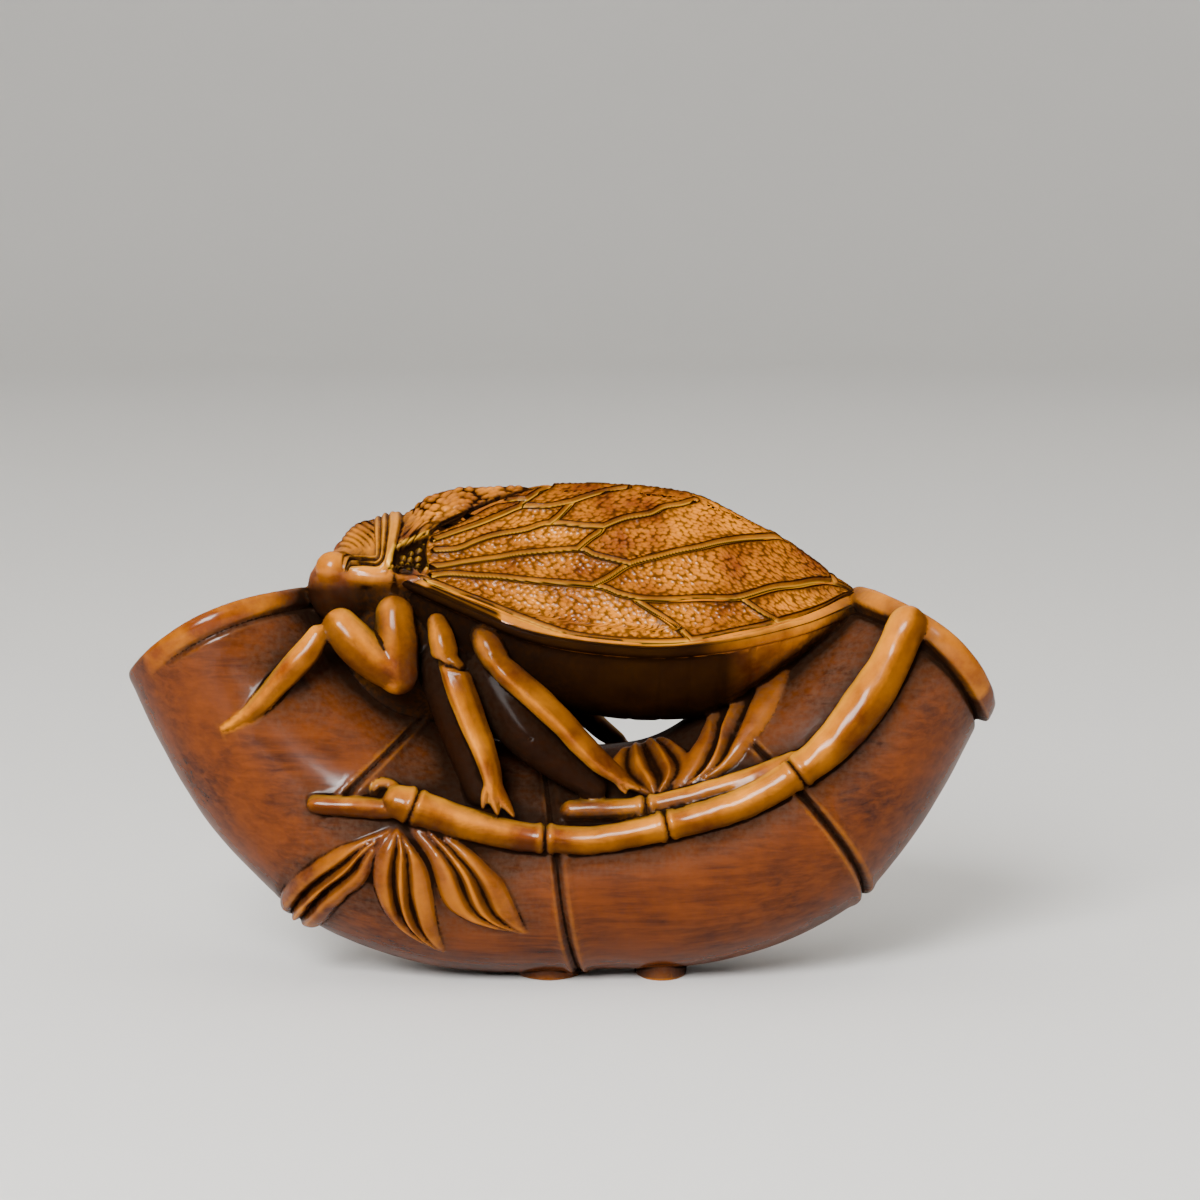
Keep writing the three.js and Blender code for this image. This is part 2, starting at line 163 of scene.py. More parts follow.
def deselect():
    if bpy.context.object and bpy.context.object.mode != "OBJECT":
        bpy.ops.object.mode_set(mode="OBJECT")
    bpy.ops.object.select_all(action="DESELECT")


def mark(piece, **values):
    """Keep numbers on the points of a piece, as attributes."""
    for key, value in values.items():
        layer = piece.data.attributes.get(key) or piece.data.attributes.new(key, "FLOAT", "POINT")
        layer.data.foreach_set("value", np.broadcast_to(value, len(piece.data.vertices)).astype(np.float32))


def put_on_bench(form, name, kind, along=0.0, turn_cos=0.0, turn_sin=0.0):
    form.name = name
    numbers[name] = len(kinds)
    mark(form, form=len(kinds), along=along, turn_cos=turn_cos, turn_sin=turn_sin)
    bench.append(form)
    kinds.append(kind)
    return form


def wrap(name, along, around, place, kind):
    """A closed form. place(u, v) gives the points and their marks for u along it and v round it."""
    deselect()
    bpy.ops.mesh.primitive_grid_add(x_subdivisions=along, y_subdivisions=around, size=2)
    form = bpy.context.object
    flat = np.empty(len(form.data.vertices) * 3)
    form.data.vertices.foreach_get("co", flat)
    flat = flat.reshape(-1, 3)
    points, *marks = place((flat[:, 0] + 1) / 2, (flat[:, 1] + 1) / 2)
    form.data.vertices.foreach_set("co", points.ravel())
    put_on_bench(form, name, kind, *marks)
    with edit_mode():
        bpy.ops.mesh.select_all(action="SELECT")
        bpy.ops.mesh.remove_doubles(threshold=0.002)
        bpy.ops.mesh.normals_make_consistent(inside=False)
    return form


def ball(name, place, size, kind, turn=(0, 0, 0)):
    deselect()
    bpy.ops.mesh.primitive_uv_sphere_add(segments=96, ring_count=64, radius=1, location=place, rotation=turn)
    form = bpy.context.object
    form.scale = size
    bpy.ops.object.transform_apply(location=True, rotation=True, scale=True)
    return put_on_bench(form, name, kind)


KEEL_RISE, KEEL_WIDE = 0.22, 0.28


def rod(name, joints, kind, around=28, keels=()):
    """A rod with rounded ends along joints of (x, y, z, radius). Keels are angles on its outer side."""
    line = smooth_route(joints, 0.12)
    centres, radii = line[:, :3], line[:, 3]
    tangents = np.gradient(centres, axis=0)
    tangents /= np.linalg.norm(tangents, axis=1, keepdims=True)
    outward = np.array([0.0, np.sign(centres[:, 1].mean()) or -1.0, 0.0])
    across = np.cross(tangents, outward)
    across /= np.linalg.norm(across, axis=1, keepdims=True)
    over = np.cross(across, tangents)
    over *= np.sign(over @ outward)[:, None]
    gone = np.concatenate([[0], np.cumsum(np.linalg.norm(np.diff(centres, axis=0), axis=1))])
    bend = np.linspace(0, math.pi / 2, 8)[:-1]
    first = [(0, -math.cos(a), math.sin(a)) for a in bend]
    last = [(len(line) - 1, math.cos(a), math.sin(a)) for a in bend[::-1]]
    rows = np.array(first + [(i, 0, 1) for i in range(len(line))] + last)
    index = rows[:, 0].astype(int)

    def place(u, v):
        row = np.rint(u * (len(rows) - 1)).astype(int)
        i = index[row]
        angle = 2 * math.pi * v
        reach = radii[i] * rows[row, 2]
        for keel in keels:
            reach = reach * (1 + KEEL_RISE * hill(angle % (2 * math.pi), math.pi / 2 + keel, KEEL_WIDE))
        points = (centres[i] + tangents[i] * (radii[i] * rows[row, 1])[:, None]
                  + across[i] * (reach * np.cos(angle))[:, None] + over[i] * (reach * np.sin(angle))[:, None])
        return points, gone[i], np.cos(angle), np.sin(angle)

    return wrap(name, len(rows) - 1, around, place, kind)


# %% [markdown]
# The culm of bamboo
#
# The culm is the block that carries everything. Its axis is a chain of Bezier curves from one ring to
# the next, as in the CAD. The end rings bow outward on the twig's side, as they do on the real one.
# Each end has a band and a dished face, and each node is a cut ring between two thin lips. Such relief
# is a sum of soft hills over the distance along the culm.

# %% Culm
RINGS = [  # centre x and z, lean in degrees, half widths in the X-Z plane and along Y
    (-25.8, 25.5, -64, 7.85, 8.0),
    (-15.7, 13.0, -37, 9.3, 9.8),
    (-0.2, 9.25, 9, 8.8, 10.2),
    (17.0, 13.6, 38, 9.6, 10.0),
    (28.1, 25.5, 48, 6.4, 7.5),
]
SPAN = 16.6  # length of culm counted from one ring to the next
BOW, SKEW = 1.2, 0.9
SAG_AT, SAG_WIDE, SAG_ALL, SAG_INNER = 2.4, 0.35, 0.45, 0.8
LEFT_END, RIGHT_START, RIGHT_END, RIGHT_PROUD = -1.4, 64.4, 66.5, 0.7
NODE_SWELLINGS = ((-0.45, 0.18, 0.2), (0.55, 0.2, 0.28), (0, 0.16, 1.7))  # place, height and width
NODE_CUTS, NODE_CUT_WIDE = {1: 0.34, 2: 0.34, 3: 0.48}, 0.16  # depth of the cut at each node
RIM_SWELL, RIM_CUT = 0.14, 0.42
ring_centres = np.array([(x, 0, z) for x, z, lean, high, deep in RINGS])
ring_ways = np.array([(math.cos(math.radians(r[2])), 0, math.sin(math.radians(r[2]))) for r in RINGS])
high_at = through([(i * SPAN, r[3]) for i, r in enumerate(RINGS)])
deep_at = through([(i * SPAN, r[4]) for i, r in enumerate(RINGS)])


def culm_axis(s):
    """The middle of the culm and its direction, s millimetres along it."""
    i = np.clip(np.floor(s / SPAN).astype(int), 0, len(RINGS) - 2)
    t = np.clip(s / SPAN - i, 0, 1)[:, None]
    reach = np.linalg.norm(ring_centres[i + 1] - ring_centres[i], axis=1)[:, None] / 3
    a, d = ring_centres[i], ring_centres[i + 1]
    b, c = a + ring_ways[i] * reach, d - ring_ways[i + 1] * reach
    way = 3 * ((b - a) * (1 - t) ** 2 + 2 * (c - b) * t * (1 - t) + (d - c) * t ** 2)
    way /= np.linalg.norm(way, axis=1, keepdims=True)
    centre = a * (1 - t) ** 3 + 3 * b * t * (1 - t) ** 2 + 3 * c * t ** 2 * (1 - t) + d * t ** 3
    return centre + way * (s[:, None] - (i[:, None] + t) * SPAN), way


def on_culm(s, angle, proud=0.0, share=1.0):
    """Points of the culm: s along it, angle round it from its inner side toward the twig."""
    s, angle, proud, share = np.broadcast_arrays(*[np.asarray(a, float) for a in (s, angle, proud, share)])
    side = np.sin(angle)
    outward = np.clip(s / SPAN - 2, -1, 1)
    at = s + outward * (BOW * side ** 2 + SKEW * side) * share
    centre, way = culm_axis(at)
    sag = hill(at / SPAN, SAG_AT, SAG_WIDE)
    centre[:, 2] -= SAG_ALL * sag
    hollow = SAG_INNER * sag * np.maximum(np.cos(angle), 0) ** 2
    high = (high_at(at) - hollow) * share + proud
    deep = deep_at(at) * share + proud
    inner = np.stack([-way[:, 2], np.zeros(len(at)), way[:, 0]], axis=1)
    points = centre + inner * (high * np.cos(angle))[:, None]
    points[:, 1] -= deep * side
    return points


def culm_relief(s, angle):
    """How far the culm's skin stands out at its nodes and at the bands of its ends."""
    height = np.zeros_like(s)
    for ring, depth in NODE_CUTS.items():
        off = s - ring * SPAN + 0.12 * np.sin(3 * angle + ring)
        ring_height = sum(high * hill(off, at, wide) for at, high, wide in NODE_SWELLINGS)
        ring_height -= depth * hill(off, 0, NODE_CUT_WIDE)
        under_stub = smoothstep(np.degrees(angle), 78, 92) * (ring == 1)
        height += ring_height * (1 - 0.75 * under_stub)
    crescent = smoothstep(np.cos(angle), -0.75, -0.2)
    height += (RIM_SWELL * hill(s, -0.5, 0.6) - RIM_CUT * hill(s, 0.4, 0.18)) * crescent
    band = smoothstep(s, RIGHT_START, RIGHT_START + 0.6)
    height += RIGHT_PROUD * band - RIM_CUT * hill(s, RIGHT_START - 0.1, 0.26)
    return height


def culm_profile():
    """Rows of (s, proud, share) from the middle of the left dish to the middle of the right one."""
    left = [(LEFT_END + 1.9, 0, 0.001), (LEFT_END + 1.8, 0, 0.4), (LEFT_END + 1.3, 0, 0.7),
            (LEFT_END + 0.5, 0, 0.84), (LEFT_END + 0.05, 0, 0.895), (LEFT_END, -0.45, 1),
            (LEFT_END + 0.15, -0.12, 1), (LEFT_END + 0.45, 0, 1)]
    skin = [(s, 0, 1) for s in np.linspace(LEFT_END + 0.6, RIGHT_END - 0.75, 640)]
    right = [(RIGHT_END - 0.35, -0.08, 1), (RIGHT_END - 0.08, -0.35, 1), (RIGHT_END, -0.75, 1),
             (RIGHT_END - 0.1, -1.3, 1), (RIGHT_END - 0.7, -1.3, 0.9), (RIGHT_END - 1.5, 0, 0.5),
             (RIGHT_END - 1.7, 0, 0.001)]
    return np.vstack([smooth_route(left, 0.12), skin, smooth_route(right, 0.12)])


profile = culm_profile()


def place_culm(u, v):
    row = u * (len(profile) - 1)
    s, proud, share = (np.interp(row, np.arange(len(profile)), profile[:, k]) for k in range(3))
    angle = 2 * math.pi * v
    relief = culm_relief(s, np.where(v > 0.5, angle - 2 * math.pi, angle))
    proud = proud + relief * smoothstep(share, 0.8, 0.9)
    return on_culm(s, angle, proud, share), s, share * np.cos(angle), share * np.sin(angle)


wrap("culm", len(profile) - 1, 240, place_culm, BAMBOO)
print("culm profile has", len(profile), "rows")

# %% [markdown]
# The feet
#
# Two low oval feet under the middle keep the round culm from rocking. They are cylinders, squashed to
# ovals, whose upper end is lost inside the culm.

# %% Feet
FEET = [(-1.1, 5.0), (7.6, 4.0)]  # middle and length of each foot along x
FOOT_HIGH, FOOT_DEEP = 1.8, 7.6
for foot, (x, long) in enumerate(FEET):
    deselect()
    middle = (x, 0, FOOT_HIGH / 2)
    bpy.ops.mesh.primitive_cylinder_add(vertices=96, radius=1, depth=FOOT_HIGH, location=middle)
    pad = bpy.context.object
    pad.scale = (long / 2, FOOT_DEEP / 2, 1)
    bpy.ops.object.transform_apply(location=True, rotation=True, scale=True)
    put_on_bench(pad, f"foot_{foot}", BAMBOO)

# %% [markdown]
# The cicada's body and wings
#
# The folded wings make a roof. Seen from the side, its ridge, its lower edge, its width and the belly
# are four profiles along x, and one closed skin carries them all. Under the edge of the wings the
# body steps in, deeper at the middle, where the real one is undercut, than at the tail. In front of
# the wings' slanting border the same skin swells into the dome of the thorax.

# %% Body form
RIDGE = [(-13, 35), (-9.8, 37.3), (-4, 37.9), (3, 38.1), (9.8, 37.4), (13.7, 35.9), (17.5, 33.8), (23, 29.6)]
MARGIN = [(-12.7, 31.7), (-6.4, 29.1), (-2.5, 27.6), (3, 26.7), (9, 26.5), (18.3, 27.9), (23, 29.2)]
WIDTH = [(-12.7, 6.8), (-6.4, 8.7), (3, 10.1), (9, 10), (13.7, 9), (18.3, 6.6), (23, 2.2)]
BELLY = [(-13, 25), (-8, 22.3), (3, 20.2), (8, 20), (12, 20.6), (17, 24), (23, 28)]
ridge_at, margin_at, width_at, belly_at = (through(p) for p in (RIDGE, MARGIN, WIDTH, BELLY))
WING_ARCH = 0.74
WING_START, WING_END = -13.0, 23.0
WING_BORDER = [(0, -1.0), (0.02, -1.8), (0.07, -3.8), (0.15, -5.9), (0.4, -9.9), (0.84, -10.1), (0.87, -10.7),
               (0.89, -12.5), (1.2, -12.5)]
border_at = through(WING_BORDER)  # x of the wing's front edge, from its share of the way down
ROOF, LIP = 0.6, 0.66  # shares of a half section: where the roof ends, and where its edge has turned under
WING_SEAT = 0.35  # how far the block is cut down where the wings lie
THORAX_SWELL = 1.5


def on_wing(x, share, side=-1.0):
    """Points of the wings' roof, share of the way from the ridge to the lower edge."""
    drop = ridge_at(x) - margin_at(x)
    return np.stack([x, side * width_at(x) * share ** WING_ARCH, ridge_at(x) - drop * share], axis=-1)


def body_skin(x, half, side):
    """The body's skin: half runs from the ridge, 0, over the roof and under its lip to the belly, 1."""
    share = np.clip(half / ROOF, 0, 1)
    points = on_wing(x, share, side)
    dome = smoothstep(border_at(share) - x, 0.0, 2.8) * np.sin(math.pi * share) ** 0.8
    points[:, 1] += side * THORAX_SWELL * dome * (half <= ROOF)
    parting = smoothstep(x, 8, 18)
    valley = (0.25 + 0.8 * parting) * hill(points[:, 1], 0, 0.22 + 0.3 * parting)
    points[:, 2] -= valley * (half < 0.3)
    wide, margin, belly = width_at(x), margin_at(x), belly_at(x)
    inset = 0.45 + 0.9 * (1 - smoothstep(x, 6, 15))
    turn = smoothstep(half, ROOF, LIP)
    below = np.clip((half - LIP) / (1 - LIP), 0, 1)
    lip_y, lip_z = wide - inset * turn ** 3, margin - 0.9 * np.sin(turn * math.pi / 2)
    hull_y = (wide - inset) * np.cos(below * math.pi / 2) ** 0.7
    hull_z = margin - 0.9 + (belly - margin + 0.9) * np.sin(below * math.pi / 2) ** 1.15
    under = half > ROOF
    points[under, 1] = (side * np.maximum(np.where(half < LIP, lip_y, hull_y), 0))[under]
    points[under, 2] = np.where(half < LIP, lip_z, hull_z)[under]
    return points


def body_axis(x):
    return np.stack([x, 0 * x, (ridge_at(x) + belly_at(x)) / 2], axis=1)


def sink(points, depth):
    """Move points of the body towards its axis."""
    inward = body_axis(points[:, 0]) - points
    far = np.linalg.norm(inward, axis=1)
    return points + inward * (np.minimum(depth, 0.6 * far) / np.maximum(far, 1e-6))[:, None]


def place_body(u, v):
    x = WING_START + (WING_END - WING_START) * np.clip((u - 0.02) / 0.96, 0, 1)
    side = np.where(v < 0.5, -1.0, 1.0)
    half = 1 - np.abs(1 - 2 * v)
    points = body_skin(x, half, side)
    seat = smoothstep(x - border_at(np.clip(half / ROOF, 0, 1)), 0.1, 0.4)
    points = sink(points, WING_SEAT * (seat * (1 - smoothstep(half, LIP - 0.03, LIP))))
    inside = smoothstep(np.minimum(u, 1 - u), 0, 0.02)
    middle = body_axis(x)
    return middle + (points - middle) * inside[:, None], x, half, side


wrap("body", 260, 300, place_body, CICADA)
BODY = numbers["body"]
print("body is number", BODY, "of the forms")

# %% [markdown]
# Head and thorax
#
# The cicada looks along the culm. Its broad head has an eye at each corner, a domed crown between
# them, a striped clypeus in front, and a collar behind. The thorax behind the collar is the highest
# dome. The forms are squashed balls that overlap, because fusing them gives the soft hollows between.

# %% Head
HEAD_TURN = 0.14  # the head looks a little to the twig's side
ball("crown", (-14.7, 0, 31.6), (2.8, 4.7, 3.65), CICADA)
ball("face", (-16.0, 0, 29.9), (3.2, 4.7, 3.4), CICADA)
ball("clypeus", (-17.4, 0, 29.1), (2.2, 2.1, 2.9), CICADA, turn=(0, math.radians(-14), 0))
ball("pronotum", (-12.9, 0, 31.1), (3.5, 6.7, 4.65), CICADA)
ball("chest", (-12, 0, 25.6), (5.6, 6.3, 6.6), CICADA)
EYE, EYE_SIZE = (-17.0, 5.3, 32.05), 1.25
LEDGE = [(-15.9, 5.4, 31.5, 0.95), (-14.8, 5.8, 31.35, 0.75), (-13.6, 6.2, 31.3, 0.65),
         (-12.5, 6.5, 31.4, 0.6)]


def eye_x(side):
    return EYE[0] + HEAD_TURN * side * EYE[1] * 0.5


def on_side(joints, side):
    """Joints of a rod, kept on their side of the cicada or, for a side of -1, put on the other."""
    return [(x, side * y, z, radius) for x, y, z, radius in joints]


for side in (-1, 1):
    x = eye_x(side)
    ball(f"eye_{side}", (x, side * EYE[1], EYE[2]), (EYE_SIZE + 0.1, EYE_SIZE, EYE_SIZE), CICADA)
    ball(f"cheek_{side}", (x + 0.8, side * 3.4, 30.3), (2.8, 2.7, 2.9), CICADA)
    rod(f"ledge_{side}", on_side([(x + 0.2, 5.0, 31.7, 1.2)] + LEDGE, side), CICADA)
HEAD_FORMS = range(BODY, len(kinds))
print(len(kinds), "forms on the bench")

# %% [markdown]
# Legs
#
# Each front leg is folded into two plump forms like a V, with a thin shin that reaches over the rim of
# the culm. The middle and hind legs are long shins with a crisp keel, which the carver left joined to
# the culm by a web of wood. Each is a rod along measured joints, and the far side gets a mirrored copy.

# %% Legs
LEGS = {  # joints of (x, y, z, radius) from the body to the foot, and the angles of the keels
    "front_thigh": ([(-12.6, -7.2, 28.6, 1.5), (-12.4, -7.5, 26.4, 1.65), (-12.3, -7.6, 24.2, 1.6)], ()),
    "front_knee": ([(-12.3, -7.7, 24.2, 1.45), (-14.05, -7.9, 25.2, 1.55), (-15.5, -8.1, 26.6, 1.6),
                    (-16.6, -8.0, 27.8, 1.45)], ()),
    "front_shin": ([(-18.3, -8.4, 27.2, 0.85), (-19.1, -8.4, 26.0, 1.05), (-20.4, -8.5, 24.6, 1.0),
                    (-21.7, -8.4, 23.1, 0.85), (-23.1, -8.3, 21.6, 0.7), (-24.3, -8.1, 20.7, 0.5)], (0.7,)),
    "middle_thigh": ([(-9.4, -7.6, 28.0, 0.8), (-9.1, -8.2, 27.2, 0.95), (-8.8, -8.5, 26.0, 1.0)], ()),
    "middle_shin": ([(-8.5, -8.7, 25.3, 0.75), (-7.8, -9.0, 23.8, 1.1), (-6.8, -9.4, 21.2, 1.1),
                     (-5.7, -9.8, 18.4, 0.9), (-5.1, -10.1, 16.2, 0.7)], (-0.45, 0.5)),
    "hind_thigh": ([(-6.0, -7.6, 27.0, 0.9), (-5.6, -8.1, 26.5, 1.1), (-5.0, -8.4, 25.5, 1.1)], ()),
    "hind_shin": ([(-5.0, -8.7, 25.4, 0.85), (-3.9, -9.0, 24.3, 1.05), (-0.4, -9.5, 21.2, 1.0),
                   (2.4, -9.7, 18.2, 0.9), (4.3, -9.7, 16.7, 0.65)], (-0.15,)),
    "middle_web": ([(-8.8, -5.5, 24.5, 2.2), (-7.4, -7.4, 19.5, 1.7), (-6.0, -8.4, 15.5, 1.3)], ()),
    "hind_web": ([(-5.4, -5.5, 23.8, 2.5), (-2.3, -7.6, 19.3, 1.8), (2.4, -8.6, 15.6, 1.0)], ()),
}
TOES = [  # the toes of the middle foot, the hind foot and the front foot
    [(-5.3, -10.2, 16.4, 0.45), (-5.7, -10.4, 15.3, 0.36), (-5.9, -10.5, 14.5, 0.2)],
    [(-5.1, -10.3, 16.4, 0.55), (-5.0, -10.6, 15.0, 0.42), (-4.8, -10.7, 14.1, 0.22)],
    [(-5.0, -10.3, 16.4, 0.5), (-4.3, -10.6, 15.0, 0.4), (-3.6, -10.7, 13.9, 0.2)],
    [(4.1, -9.7, 16.8, 0.4), (4.5, -10.0, 16.0, 0.32), (4.8, -10.1, 15.6, 0.2)],
    [(4.2, -9.7, 16.8, 0.5), (5.1, -10.0, 16.2, 0.36), (5.8, -10.1, 15.8, 0.2)],
    [(-23.8, -8.3, 21.2, 0.5), (-24.8, -8.2, 20.4, 0.4), (-25.4, -8.1, 20.1, 0.25)],
]
first_leg = len(kinds)
for side in (1, -1):
    for name, (joints, keels) in LEGS.items():
        rod(f"{name}_{side}", on_side(joints, side), WEB if "web" in name else CICADA, keels=keels)
    for toe, joints in enumerate(TOES):
        rod(f"toe_{toe}_{side}", on_side(joints, side), CICADA, around=16)
print(len(kinds) - first_leg, "leg forms")

# %% [markdown]
# Twig and leaves
#
# The twig lies on the culm's side and splits in two. Three leaves hang from its end, and a fan and a
# long leaf stand above it. A route on the culm is written as distance along it and degrees round it, so
# that it hugs the curved wood. A leaf is a patch between two edges: plump blades, a deep cut on each
# side of the midrib, and a thin midrib.


# %% Twig and leaf makers
def laid(route, radii, sink=0.45):
    """A route of (s, degrees) on the culm as joints for a rod that is partly sunk in it."""
    s, degrees = np.array(route, float).T
    radii = np.broadcast_to(radii, len(s)).astype(float)
    return np.column_stack([on_culm(s, np.radians(degrees), radii * sink), radii])


leaf_ribs = {}  # where the ribs of each leaf are, as shares of the way across it
LEAF_TOP = 0.7  # share of the way round a leaf that is its upper face
LEAF_HIGH, RIB_HIGH = 0.95, 0.12
BESIDE_RIB = 0.13  # where the cuts beside a rib are, as a share of the leaf's width


def from_rib(across, ribs):
    return np.min([np.abs(across - rib) for rib in ribs], axis=0)


def leaf(name, upper, lower, ribs=(0.5,), cut=0.85):
    edges = [smooth_route(edge, 0.05) for edge in (upper, lower)]

    def place(u, v):
        t = 0.5 - 0.5 * np.cos(math.pi * np.clip(u, 0.0, 1.0)) * 0.985
        on_top = v <= LEAF_TOP
        w = np.where(on_top, v / LEAF_TOP, (1 - v) / 0.3)
        p, q = (np.column_stack([np.interp(t * (len(e) - 1), np.arange(len(e)), e[:, k]) for k in (0, 1)])
                for e in edges)
        at = p * (1 - w[:, None]) + q * w[:, None]
        full = np.sin(math.pi * np.clip(t, 0.02, 0.98)) ** 0.35
        blade = LEAF_HIGH * (1 - np.abs(2 * w - 1) ** 3.2) ** 0.5
        rib = from_rib(w, ribs)
        groove = -cut * full * hill(rib, BESIDE_RIB, 0.075)
        spine = RIB_HIGH * hill(rib, 0, 0.05)
        proud = np.where(on_top, (blade + groove + spine) * full - 0.25 * (1 - full), -1.5)
        return on_culm(at[:, 0], np.radians(at[:, 1]), proud), t, w, on_top * full

    leaf_ribs[name] = ribs
    wrap(name, 90, 90, place, LEAF)


# %% Twig
TWIG_ROUTE = [(65, 64), (61.6, 73), (58.7, 77), (54.5, 79), (50.7, 77), (45, 73), (36.6, 73), (32.7, 71),
              (30.2, 69.5), (26.4, 67.3), (23.9, 67), (21.4, 68.3), (20.3, 69.7)]
TWIG_RADIUS = [1.55, 1.55, 1.7, 1.55, 1.3, 1.15, 1.05, 1.1, 1.15, 1.25, 1.3, 1.4, 1.3]
rods_on_culm = {
    "twig": (TWIG_ROUTE, TWIG_RADIUS),
    "branch": ([(51, 73), (46.6, 65), (39.4, 60), (34.5, 58)], [0.95, 0.85, 0.85, 0.8]),
    "stub": ([(19.8, 75), (18.8, 78.2), (17.2, 85), (15.5, 93.4)], [0.75, 0.75, 0.72, 0.7]),
    "hook": ([(20, 73), (20.1, 70), (19.8, 66.6), (19.1, 64.7), (18.4, 65.6), (18, 68.6), (18, 71)],
             [0.6, 0.5, 0.48, 0.48, 0.44, 0.38, 0.28]),
    "far_twig": ([(62, -62), (54, -74), (45, -76), (34, -70), (25, -72)], 1.3),
}
for name, (route, radii) in rods_on_culm.items():
    rod(name, laid(route, radii), TWIG)

# %% Leaves
LEAVES = {
    "leaf_left": ([(21, 80), (18.6, 102), (17.2, 128), (16.5, 160), (17.4, 184)],
                  [(21, 80), (20.8, 95), (21, 108), (20, 128), (18.9, 160), (17.4, 184)]),
    "leaf_middle": ([(21.2, 79), (20.8, 96), (22.5, 120), (26.2, 138)],
                    [(21.2, 79), (24.1, 91), (25.4, 112), (26.2, 138)]),
    "leaf_right": ([(21.7, 76), (25.1, 74), (29.2, 90), (30.9, 120)],
                   [(21.7, 76), (24.3, 88), (26.4, 109), (30.9, 120)]),
    "leaf_long": ([(40.7, 56), (43.6, 36), (51, 17), (59.6, 19)],
                  [(40.7, 56), (48, 55), (54, 44), (59.6, 19)]),
    "far_leaf_left": ([(26, -73), (22.5, -70), (18, -92), (14.5, -112)],
                      [(26, -73), (25.5, -96), (21, -116), (14.5, -112)]),
    "far_leaf_right": ([(27, -74), (29.5, -78), (31, -100), (27, -128)],
                       [(27, -74), (24.5, -92), (24.5, -116), (27, -128)]),
}
FAN = ([(39.9, 56), (37.2, 38), (38.4, 10)], [(39.9, 56), (43.4, 42), (41.6, 8)])
for name, (upper, lower) in LEAVES.items():
    leaf(name, upper, lower)
leaf("fan", *FAN, ribs=(0.34, 0.66), cut=0.6)
print(len(kinds), "forms on the bench")

# %% [markdown]
# Fusing the block
#
# The forms are joined and remeshed with voxels, which makes one closed skin and rounds the hollows
# where forms meet, as a gouge does. A boolean would leave knife-sharp seams. The voxel size is a
# little over a tenth of a millimetre, fine enough for toes and rings. Every point keeps the marks of
# the form it came from.

# %% Fuse
VOXEL = 0.14
deselect()
for form in bench:
    form.select_set(True)
bpy.context.view_layer.objects.active = bench[0]
bpy.ops.object.join()
block = bpy.context.object
block.name = "cicada_carving"
block.data.remesh_voxel_size = VOXEL
block.data.remesh_voxel_adaptivity = 0
block.data.use_remesh_preserve_attributes = True
block.data.use_remesh_preserve_volume = True
block.data.use_remesh_fix_poles = False
bpy.ops.object.voxel_remesh()
print("fused skin:", len(block.data.vertices), "points")

# %% [markdown]
# Cleaning and reading the skin
#
# Voxels can leave tiny bubbles between overlapping forms, so only the one large shell is kept. Then a
# few rounds of averaging take out the voxel steps. The points, the edges and the marks are read once
# into arrays, because carving in arrays is fast and the same on every run.


# %% Keep the one shell
def read(data, key, count, width=1, kind=np.float32):
    values = np.empty(count * width, kind)
    data.foreach_get(key, values)
    return values.reshape(count, width) if width > 1 else values


def edit_points(piece, chosen, operator, **options):
    """Run an operator of edit mode on the chosen points of a piece."""
    with edit_mode():
        bpy.ops.mesh.select_all(action="DESELECT")
    piece.data.vertices.foreach_set("select", chosen)
    with edit_mode():
        bpy.ops.mesh.select_mode(type="VERT")
        operator(**options)


def keep_largest_shell(piece):
    mesh = piece.data
    links = read(mesh.edges, "vertices", len(mesh.edges), 2, np.int32)
    shell = np.arange(len(mesh.vertices))
    while True:
        low = np.minimum(shell[links[:, 0]], shell[links[:, 1]])
        spread = shell.copy()
        np.minimum.at(spread, links[:, 0], low)
        np.minimum.at(spread, links[:, 1], low)
        spread = spread[spread]
        if np.array_equal(spread, shell):
            break
        shell = spread
    sizes = np.bincount(shell)
    edit_points(piece, shell != np.argmax(sizes), bpy.ops.mesh.delete, type="VERT")
    print("shells found:", np.count_nonzero(sizes))


keep_largest_shell(block)


# %% Points and neighbours
class Skin:
    """The points of a mesh and their neighbours, in arrays."""

    def __init__(self, piece):
        self.piece, self.mesh = piece, piece.data
        self.count = len(self.mesh.vertices)
        self.links = read(self.mesh.edges, "vertices", len(self.mesh.edges), 2, np.int32)
        self.degree = np.bincount(self.links.ravel(), minlength=self.count)
        self.points = read(self.mesh.vertices, "co", self.count, 3).astype(float)

    def mark(self, key):
        return read(self.mesh.attributes[key].data, "value", self.count)

    def write(self):
        self.mesh.vertices.foreach_set("co", self.points.ravel())
        self.mesh.update()

    def normals(self):
        self.write()
        return read(self.mesh.vertex_normals, "vector", self.count, 3).astype(float)

    def averaged(self, values, times, share=0.5):
        """Values mixed with their neighbours', a given number of times."""
        a, b = self.links.T
        columns = []
        for column in np.atleast_2d(values.T):
            for _ in range(times):
                total = np.bincount(a, column[b], self.count) + np.bincount(b, column[a], self.count)
                column = column + share * (total / self.degree - column)
            columns.append(column)
        return np.array(columns).T.reshape(values.shape)


skin = Skin(block)
skin.points = skin.averaged(skin.points, 3)
skin.write()
print("one skin of", skin.count, "points")

# %% [markdown]
# A finer skin where the finest work goes
#
# The head and thorax carry lines a third of a millimetre wide. The faces there are selected by the
# form they came from and subdivided once, so that only the places that need it get more points.

